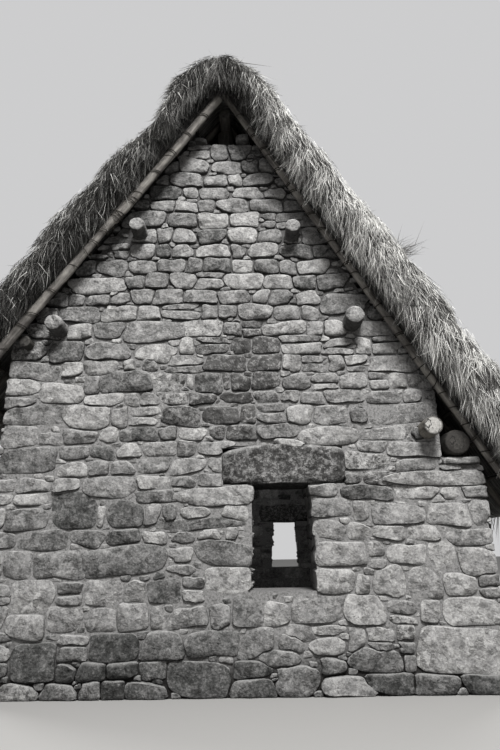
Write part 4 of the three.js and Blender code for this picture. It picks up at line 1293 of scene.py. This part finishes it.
def makeTurns(name, turns, tube, material, around=14, sides=4):
    # Turns of rope: closed rings that lie on a pole. turns holds centre, the pole's axis, radius and slant,
    # how far a ring leans along the pole, as a share of its radius
    centre = np.array([turn[0] for turn in turns], float)
    axis = np.array([turn[1] for turn in turns], float)
    axis /= np.linalg.norm(axis, axis=1, keepdims=True)
    radius = np.array([turn[2] for turn in turns], float)
    slant = np.array([turn[3] for turn in turns], float)
    count = len(turns)
    a = unit(np.cross(np.broadcast_to([0.0, 1.0, 0.0], axis.shape), axis))
    b = np.cross(axis, a)
    angle = np.arange(around) / around * 2 * np.pi
    side = np.arange(sides) / sides * 2 * np.pi
    outward = a[:, None] * np.cos(angle)[:, None] + b[:, None] * np.sin(angle)[:, None]
    wobble = 1 + 0.10 * lumps(np.stack([np.repeat(np.arange(count) * 1.7, around), np.tile(angle, count),
                                        np.zeros(count * around)], -1).reshape(count, around, 3), 0.8, 72, 1)
    ring = centre[:, None] + outward * (radius[:, None] * wobble)[..., None]
    ring = ring + axis[:, None] * ((slant * radius)[:, None] * np.cos(angle))[..., None]
    points = ring[:, :, None] + tube * (outward[:, :, None] * np.cos(side)[:, None]
                                        + axis[:, None, None] * np.sin(side)[:, None])
    item = np.arange(count)[:, None, None] * (around * sides)
    i, j = np.arange(around)[None, :, None], np.arange(sides)[None, None, :]
    nextI, nextJ = (i + 1) % around, (j + 1) % sides
    corners = [item + i * sides + j, item + nextI * sides + j, item + nextI * sides + nextJ,
               item + i * sides + nextJ]
    quads = np.stack(np.broadcast_arrays(*corners), -1).reshape(-1, 4)
    tone = np.repeat(0.5 + 0.1 * np.sin(np.arange(count) * 2.3), around * sides)
    zero = 0 * points[..., 0]
    grain = np.stack([zero + angle[None, :, None] * 0.1, zero, zero], -1)
    return makePiece(name, points, [quads], material, {"tone": tone, "grain": grain.reshape(-1, 3)})


def woodMaterial(name, colors, endColors, streaks):
    # Round wood, bark peeled off by hand and left to the weather: grey, with dark checks along the grain
    # and darker patches. Sawn ends are paler, with rings. Checks of 1 mm are drawn in a 26 mm pattern, to
    # show at all
    material, tree, shader = startMaterial(name, 0.8, 0.15)
    tone = addNode(tree, "Attribute", {"attribute_name": "tone"}, output="Fac")
    end = addNode(tree, "Attribute", {"attribute_name": "end"}, output="Fac")
    grain = addNode(tree, "Attribute", {"attribute_name": "grain"}, output="Vector")
    check = addPattern(tree, grain, 26, 4, 0.6, (0.07, 1, 1))
    patch = addPattern(tree, grain, 160, 4, 0.65, (0.5, 1, 1))
    value = tone
    for pattern, weight in ((check, streaks), (patch, 1.4)):
        centred = addNode(tree, "Math", minus, (pattern, 0.5))
        value = addNode(tree, "Math", timesPlus, (centred, weight, value))
    color = addNode(tree, "ValToRGB", {"stops": list(zip((0.0, 0.35, 0.65, 1.0), colors))}, (value,))
    # Rings go round the axis, which is the grain's first value, and are a little ragged
    flat = addNode(tree, "Mapping", None, {"Vector": grain, "Scale": (0.0, 1, 1)})
    distance = addNode(tree, "VectorMath", {"operation": "LENGTH"}, (flat,), "Value")
    ragged = addNode(tree, "Math", timesPlus, (addPattern(tree, grain, 60, 3, 0.6), 0.03, distance))
    rings = addNode(tree, "Math", times, (ragged, 420.0))
    rings = addNode(tree, "Math", {"operation": "SINE"}, (rings,))
    endTone = addNode(tree, "Math", timesPlus, (rings, 0.10, addPattern(tree, grain, 40, 4, 0.65)))
    endColor = addNode(tree, "ValToRGB", {"stops": [(0.25, endColors[0]), (0.7, endColors[1])]}, (endTone,))
    # Drying cracks follow a pattern's middle line, and a ring of bark is left on the thickest logs
    split = addNode(tree, "Math", minus, (addPattern(tree, grain, 110, 2, 0.5), 0.5))
    split = addNode(tree, "Math", {"operation": "ABSOLUTE"}, (split,))
    for source, start, full, strength, code in ((split, 0.032, 0.012, 0.9, "#141312"),
                                                (distance, 0.088, 0.100, 0.75, "#2a2826")):
        share = addNode(tree, "MapRange", softStep, (source, start, full, 0.0, strength))
        endColor = addNode(tree, "Mix", blend, {0: share, 6: endColor, 7: linear(code)}, 2)
    color = addNode(tree, "Mix", blend, {0: end, 6: color, 7: endColor}, 2)
    normal = addNode(tree, "Bump", None, {"Height": check, "Distance": 0.010, "Strength": 0.8})
    tree.links.new(color, shader.inputs["Base Color"])
    tree.links.new(normal, shader.inputs["Normal"])
    return material


poleWood = woodMaterial("eucalyptus pole, peeled and weathered", ("#1f1d1a", "#565350", "#7b7873", "#9c9992"),
                        ("#4c4944", "#88847c"), 0.8)
darkPole = woodMaterial("eucalyptus pole, sooty", ("#0c0b0a", "#272522", "#45423e", "#66635d"),
                        ("#2a2825", "#66635c"), 0.8)
logWood = woodMaterial("roof log, adzed, with a sawn end", ("#161513", "#3c3a36", "#615e58", "#86827b"),
                       ("#646360", "#989692"), 0.7)
# Painted shade: near-black wood and ends for the logs that lie in the roof's shade
shadeDarkLog = woodMaterial("roof log, grey, painted dark as shade", ("#0a0a09", "#1c1b19", "#33312e", "#504e4a"),
                      ("#191817", "#3d3b38"), 0.9)
rope = woodMaterial("grass rope, twisted by hand", ("#0b0a09", "#191715", "#2c2a26", "#45423c"),
                    ("#191715", "#2c2a26"), 0.6)


def slopePoint(slope, s, h, y):
    x, z = onSlope(slope, s, h)
    return (x, y, z)


rakes = {  # the poles along the verges: distance from the ridge, h of the axis, radius, place along Y
    "left": {"h": -0.010, "radius": 0.062, "y": 5.606}, "right": {"h": 0.005, "radius": 0.047, "y": 5.48},
}


ropeSet = {  # turns of rope down each pole: first one, distance apart, count, slant, half a pair, thickness
    "left": {"first": 0.25, "apart": (0.10, 0.42), "count": 19, "slant": (0.45, 0.35), "pair": 0.013,
             "thick": 0.0055},
    "right": {"first": 0.2, "apart": (0.12, 0.28), "count": 31, "slant": (-0.3, 0.3), "pair": 0.012,
              "thick": 0.0065},
    "joint": (2.06, 2.09, 2.13, 2.34, 2.37, 2.40),  # more turns round the left pole's joint
}


def layRakePoles():
    # Each left pole is two lengths that overlap at the joint, each right one a single length. Rope turns go
    # round them singly or in pairs, and closer where the lengths overlap
    left, right = rakes["left"], rakes["right"]
    top, joint, foot = 0.15, 2.24, leftSlope["length"]
    for face, word in ((-1, "front"), (1, "back")):
        y = face * left["y"]
        upper = (slopePoint(leftSlope, top, left["h"], y),
                 slopePoint(leftSlope, joint + 0.20, left["h"] - 0.012, y),
                 left["radius"], left["radius"] * 0.93, (0.012, 0, 0.010), 0.42)
        lower = (slopePoint(leftSlope, joint - 0.20, left["h"] + 0.012, y),
                 slopePoint(leftSlope, foot, left["h"], y),
                 left["radius"] * 0.88, left["radius"], (-0.010, 0, -0.014), 0.42)
        nodes = ([f"{word}_left_rake_pole_upper", f"{word}_left_rake_pole_lower"] if face < 0
                 else [f"{word}_left_rake_pole"])
        makeRounds(f"{word}_left_verge_pole", [upper, lower], poleWood, 14, 50, 0.011, 0.14, "sawn",
                   nodes)
        y = face * right["y"]
        item = (slopePoint(rightSlope, -0.03, right["h"], y),
                slopePoint(rightSlope, rightSlope["length"], right["h"], y),
                right["radius"], right["radius"] * 0.94, (0.012, 0, -0.010), 0.38)
        makeRounds(f"{word}_right_verge_pole", [item], poleWood, 14, 70, 0.008, 0.14, "sawn",
                   [f"{word}_right_rake_pole"])
        generator = np.random.default_rng(90 + face)
        for side, slope in (("left", leftSlope), ("right", rightSlope)):
            pole, values = rakes[side], ropeSet[side]
            down = np.array(slopePoint(slope, 1, 0, 0)) - np.array(slopePoint(slope, 0, 0, 0))
            y = face * pole["y"]
            turns = []
            for s in values["first"] + np.cumsum(generator.uniform(*values["apart"], values["count"])):
                slant = generator.normal(*values["slant"])
                for step in (-values["pair"], values["pair"])[:generator.integers(1, 3)]:
                    turns.append((slopePoint(slope, s + step, pole["h"], y), down,
                                  pole["radius"] + 0.008, slant))
            for s in ropeSet["joint"] if side == "left" else ():
                turns.append((slopePoint(slope, s, pole["h"], y), down, pole["radius"] + 0.014,
                              generator.normal(0.2, 0.2)))
            makeTurns(f"{word}_{side}_verge_rope", turns, values["thick"], rope)


roofWood = {
    "rafter": {"places": np.arange(-4.95, 5.0, 0.825), "solid": (-3.3, 0, 3.3),  # places along Y
               "beside": 0.0604, "radius": 0.045, "solidRadius": 0.058, "h": 0.012, "bow": 0.006},
    "purlin": {"left": (1.5, 3.9), "right": (1.7, 4.9), "h": 0.0954, "radius": 0.034, "reach": 5.40},
    "batten": {"left": np.arange(0.55, 5.3, 0.47), "right": np.arange(0.55, 6.5, 0.47),  # down each slope
               "h": 0.092, "radius": (0.024, 0.022), "reach": 5.30, "apart": 0.12},
}


def layRoofWood():
    # Rafters in pairs, of which every fourth stands for a CAD one, and battens across them under the
    # thatch. Two thicker battens on each slope stand for the CAD purlins
    generator = np.random.default_rng(95)
    slopes = (("left", leftSlope, -1), ("right", rightSlope, 1))
    values = roofWood["rafter"]
    rafters, marked = [], []
    for place in values["places"]:
        isNode = min(abs(place - q) for q in values["solid"]) < 0.05
        for _, slope, way in slopes:
            radius = values["solidRadius"] if isNode else values["radius"]
            h = 0.0 if isNode else values["h"]
            y = place + way * values["beside"]
            item = (slopePoint(slope, 0.0, h, y), slopePoint(slope, slope["length"] - 0.02, h, y),
                    radius, radius * 0.92, tuple(generator.normal(0, values["bow"], 3)),
                    generator.uniform(0.4, 0.6))
            (marked if isNode else rafters).append(item)
    makeRounds("rafters", marked, darkPole, 12, 30, 0.005, 0.14, "sawn",
               [f"{side}_rafter_{n}" for side in ("left", "right") for n in (1, 2, 3)])
    makeRounds("rafters_between", rafters, darkPole, 8, 12, 0.005, 0.14)
    battens, marked = [], []
    for side, slope, _ in slopes:
        values = roofWood["purlin"]
        own, h, reach, radius = values[side], values["h"], values["reach"], values["radius"]
        for s in own:
            marked.append((slopePoint(slope, s, h, -reach), slopePoint(slope, s, h, reach),
                           radius, radius, (0, 0, 0.004), 0.5))
        values = roofWood["batten"]
        h, reach = values["h"], values["reach"]
        for s in values[side]:
            if min(abs(s - q) for q in own) > values["apart"]:
                battens.append((slopePoint(slope, s, h, -reach), slopePoint(slope, s, h, reach),
                                *values["radius"], (0, 0, 0.004), generator.uniform(0.35, 0.6)))
    makeRounds("purlins", marked, darkPole, 12, 40, 0.004, 0.14, "sawn",
               [f"{side}_purlin_{n}" for side in ("left", "right") for n in (1, 2)])
    makeRounds("battens", battens, darkPole, 6, 12, 0.003, 0.14)


def layLogs():
    # Each log: piece, node, x, z, half length, radius at each end, sag, tone, material, points around,
    # roughness, size of its bumps and cap
    logs = [
        ("outer_plate_log", "right_outer_wall_plate", 2.56, 2.694, 5.525, 0.149, 0.146, 0.004, 0.42,
         shadeDarkLog, 26, 0.012, 0.16, "worn"),
        ("inner_plate_log", "right_inner_wall_plate", 2.25, 2.867, 5.68, 0.110, 0.107, 0.003, 0.52,
         logWood, 26, 0.006, 0.14, "sawn"),
        ("left_plate_log", "left_wall_plate", -2.62, 4.016, 5.53, 0.070, 0.067, 0.003, 0.45,
         shadeDarkLog, 20, 0.006, 0.14, "sawn"),
        ("ridge_tree", "ridge_log", -0.16, 7.33, 5.45, 0.080, 0.076, 0.003, 0.55,
         shadeDarkLog, 20, 0.007, 0.14, "sawn"),
    ]
    for name, node, x, z, reach, near, far, sag, tone, material, around, rough, size, cap in logs:
        item = ((x, -reach, z), (x, reach, z), near, far, (0, 0, sag), tone)
        makeRounds(name, [item], material, around, 50, rough, size, cap, [node])
    for face, word in ((-1, "front"), (1, "back")):
        y = face * 5.081
        item = ((-0.16, y, 6.98), (-0.16, y, 7.262), 0.125, 0.105, (0, 0, 0), 0.5)
        makeRounds(f"{word}_ridge_post", [item], shadeDarkLog, 22, 12, 0.010, 0.12, "sawn",
                   [f"{word}_ridge_stump"])


pegSet = {"inward": 0.415, "outward": 0.285, "taper": 0.96, "tone": 0.62,  # lengths from the wall's face
          "rough": (0.018, 0.009, 0.018, 0.009)}


def layPegs():
    # Four round stones in each gable, two under each slope. The left ones are only roughly dressed
    names = ("upper_left", "upper_right", "lower_left", "lower_right")
    for face, word in ((-1, "front"), (1, "back")):
        for name, (x, z, r), rough in zip(names, pegPlaces, pegSet["rough"]):
            wall = house["halfLength"] + coreDepth - z * house["gableBatter"]
            start, end = wall - pegSet["inward"], wall + pegSet["outward"]
            item = ((x, face * start, z), (x, face * end, z), r, r * pegSet["taper"], (0, 0, 0),
                    pegSet["tone"])
            makeRounds(f"{word}_{name}_peg_stone", [item], pegStone, 26, 12, rough, 0.09, "worn",
                       [f"{word}_peg_{name}"])


looseSet = {
    "padPlace": (2.61, 5.33, 2.49), "padHalf": (0.215, 0.14, 0.047),
    "padForm": {"power": 7, "chips": 6, "rough": 0.008, "size": 0.1, "tone": 0.6, "rows": 20, "around": 36},
    "gap": ((-0.52, 7.03, 0.10, 0.052), (0.08, 7.05, 0.10, 0.085), (-0.63, 6.99, 0.06, 0.035)),
    "gapAt": 5.19, "gapDepth": 0.12,  # gap gives x, z, half width and half height of each stone
    "gapForm": {"power": 5, "chips": 11, "rough": 0.010, "size": 0.1, "tone": 0.5, "rows": 12, "around": 20},
}


def layLooseStones():
    # The flat stone under the outer log's end, and small ones beside the post in the gable's open top
    padX, padY, padZ = looseSet["padPlace"]
    for face, word in ((-1, "front"), (1, "back")):
        makeBlock(f"{word}_pad_stone", (padX, face * padY, padZ), looseSet["padHalf"], fieldstone, "rubble",
                  80 + face, **looseSet["padForm"])
        for number, (x, z, wide, high) in enumerate(looseSet["gap"]):
            makeBlock(f"{word}_gap_stone_{number + 1}", (x, face * looseSet["gapAt"], z),
                      (wide, looseSet["gapDepth"], high), fieldstone, "rubble", 84 + number + face,
                      **looseSet["gapForm"])


layRakePoles()
layRoofWood()
layLogs()
layPegs()
layLooseStones()
print("poles, logs and pegs made")


def makeCore():
    # The mud and rubble between a wall's two faces: copies of the wall solids whose outer faces are pressed
    # in to the bottom of the bed joints, |x| and |y| being held to the core's own width and length at each
    # height
    names = [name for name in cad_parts
             if name.endswith("_gable") or "_wall" in name and not name.endswith("_plate")]
    points, faces, first = [], [], 0
    for name in names:
        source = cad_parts[name].data
        place = np.empty(3 * len(source.vertices), np.float32)
        corners = np.empty(len(source.loops), np.int32)
        source.vertices.foreach_get("co", place)
        source.loops.foreach_get("vertex_index", corners)
        place = place.reshape(-1, 3)
        wide = house["halfWidth"] - place[:, 2] * house["sideBatter"]
        long = house["halfLength"] - place[:, 2] * house["gableBatter"]
        place[:, 0] = np.clip(place[:, 0], -wide, wide)
        place[:, 1] = np.clip(place[:, 1], -long, long)
        whole, number = np.unique(np.round(place * 5000).astype(np.int64), axis=0, return_inverse=True)
        triangles = number.ravel()[corners].reshape(-1, 3)
        isFlat = (triangles == np.roll(triangles, 1, 1)).any(1)
        points.append(whole / 5000)
        faces.append(triangles[~isFlat] + first)
        first += len(whole)
    piece = makePiece("mud_core", np.concatenate(points), faces, mud, None, False)
    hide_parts(*names)
    print("mud core stands for", len(names), "solids")


makeCore()
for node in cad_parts.values():  # every solid gets a finish, also those that pieces stand for
    node.data.materials.clear()
    node.data.materials.append(mud)

# Stage, light and camera
stage = {"floor": "#82817f", "sky": "#e9e9ea", "skyStrength": 0.75}
camera = {"eye": (0.14, -12.73, 1.51), "pitch": 15.76, "roll": 0.8, "focalPixels": 620, "longSidePixels": 750}


def makeFloor():
    # A flat square plate, under the house and out to the horizon
    reach = 90.0
    x, y = np.meshgrid(np.linspace(-reach, reach, 3), np.linspace(-reach, reach, 3), indexing="ij")
    points = np.stack([x.ravel(), y.ravel(), np.full(9, -0.001)], -1)
    i, j = np.meshgrid(np.arange(2), np.arange(2), indexing="ij")
    a = (i * 3 + j).ravel()
    quads = np.stack([a, a + 3, a + 4, a + 1], -1)
    material, _, shader = startMaterial("matte studio floor, painted", 0.95, 0.1)
    shader.inputs["Base Color"].default_value = linear(stage["floor"])
    mesh = bpy.data.meshes.new("studio_floor")
    mesh.from_pydata(points.tolist(), [], quads.tolist())
    mesh.materials.append(material)
    floor = bpy.data.objects.new("studio_floor", mesh)
    bpy.context.scene.collection.objects.link(floor)


def addAreaLight(name, place, target, size, power):
    data = bpy.data.lights.new(name, "AREA")
    data.shape = "DISK"
    data.size = size
    data.energy = power
    light = bpy.data.objects.new(name, data)
    light.location = place
    light.rotation_euler = (Vector(target) - Vector(place)).to_track_quat("-Z", "Y").to_euler()
    bpy.context.scene.collection.objects.link(light)


def makeLight():
    world = bpy.data.worlds.new("studio")
    bpy.context.scene.world = world
    world.use_nodes = True
    background = world.node_tree.nodes["Background"]
    background.inputs["Color"].default_value = linear(stage["sky"])
    background.inputs["Strength"].default_value = stage["skyStrength"]
    addAreaLight("light_above_front", (3, -18.5, 17), (0, -5, 3.5), 6, 9600)
    addAreaLight("light_right_behind", (15, 15, 14), (0, 1, 3), 9, 4200)
    addAreaLight("light_left_behind", (-17, 8, 15), (0, 1, 3), 9, 4800)
    addAreaLight("light_in_the_room", (0, 0.5, 4.2), (0.6, 5, 1.5), 1.5, 30)


def makeCamera():
    data = bpy.data.cameras.new("camera")
    data.sensor_width = 36
    data.sensor_fit = "AUTO"
    data.lens = camera["focalPixels"] * data.sensor_width / camera["longSidePixels"]
    data.clip_end = 400
    eye = bpy.data.objects.new("camera", data)
    pitch = Matrix.Rotation(math.radians(90 + camera["pitch"]), 4, "X")
    roll = Matrix.Rotation(math.radians(-camera["roll"]), 4, "Z")
    eye.matrix_world = Matrix.Translation(camera["eye"]) @ pitch @ roll
    bpy.context.scene.collection.objects.link(eye)
    bpy.context.scene.camera = eye


makeFloor()
makeLight()
makeCamera()
bpy.context.scene.view_settings.view_transform = "Standard"
print("stage, light and camera made")
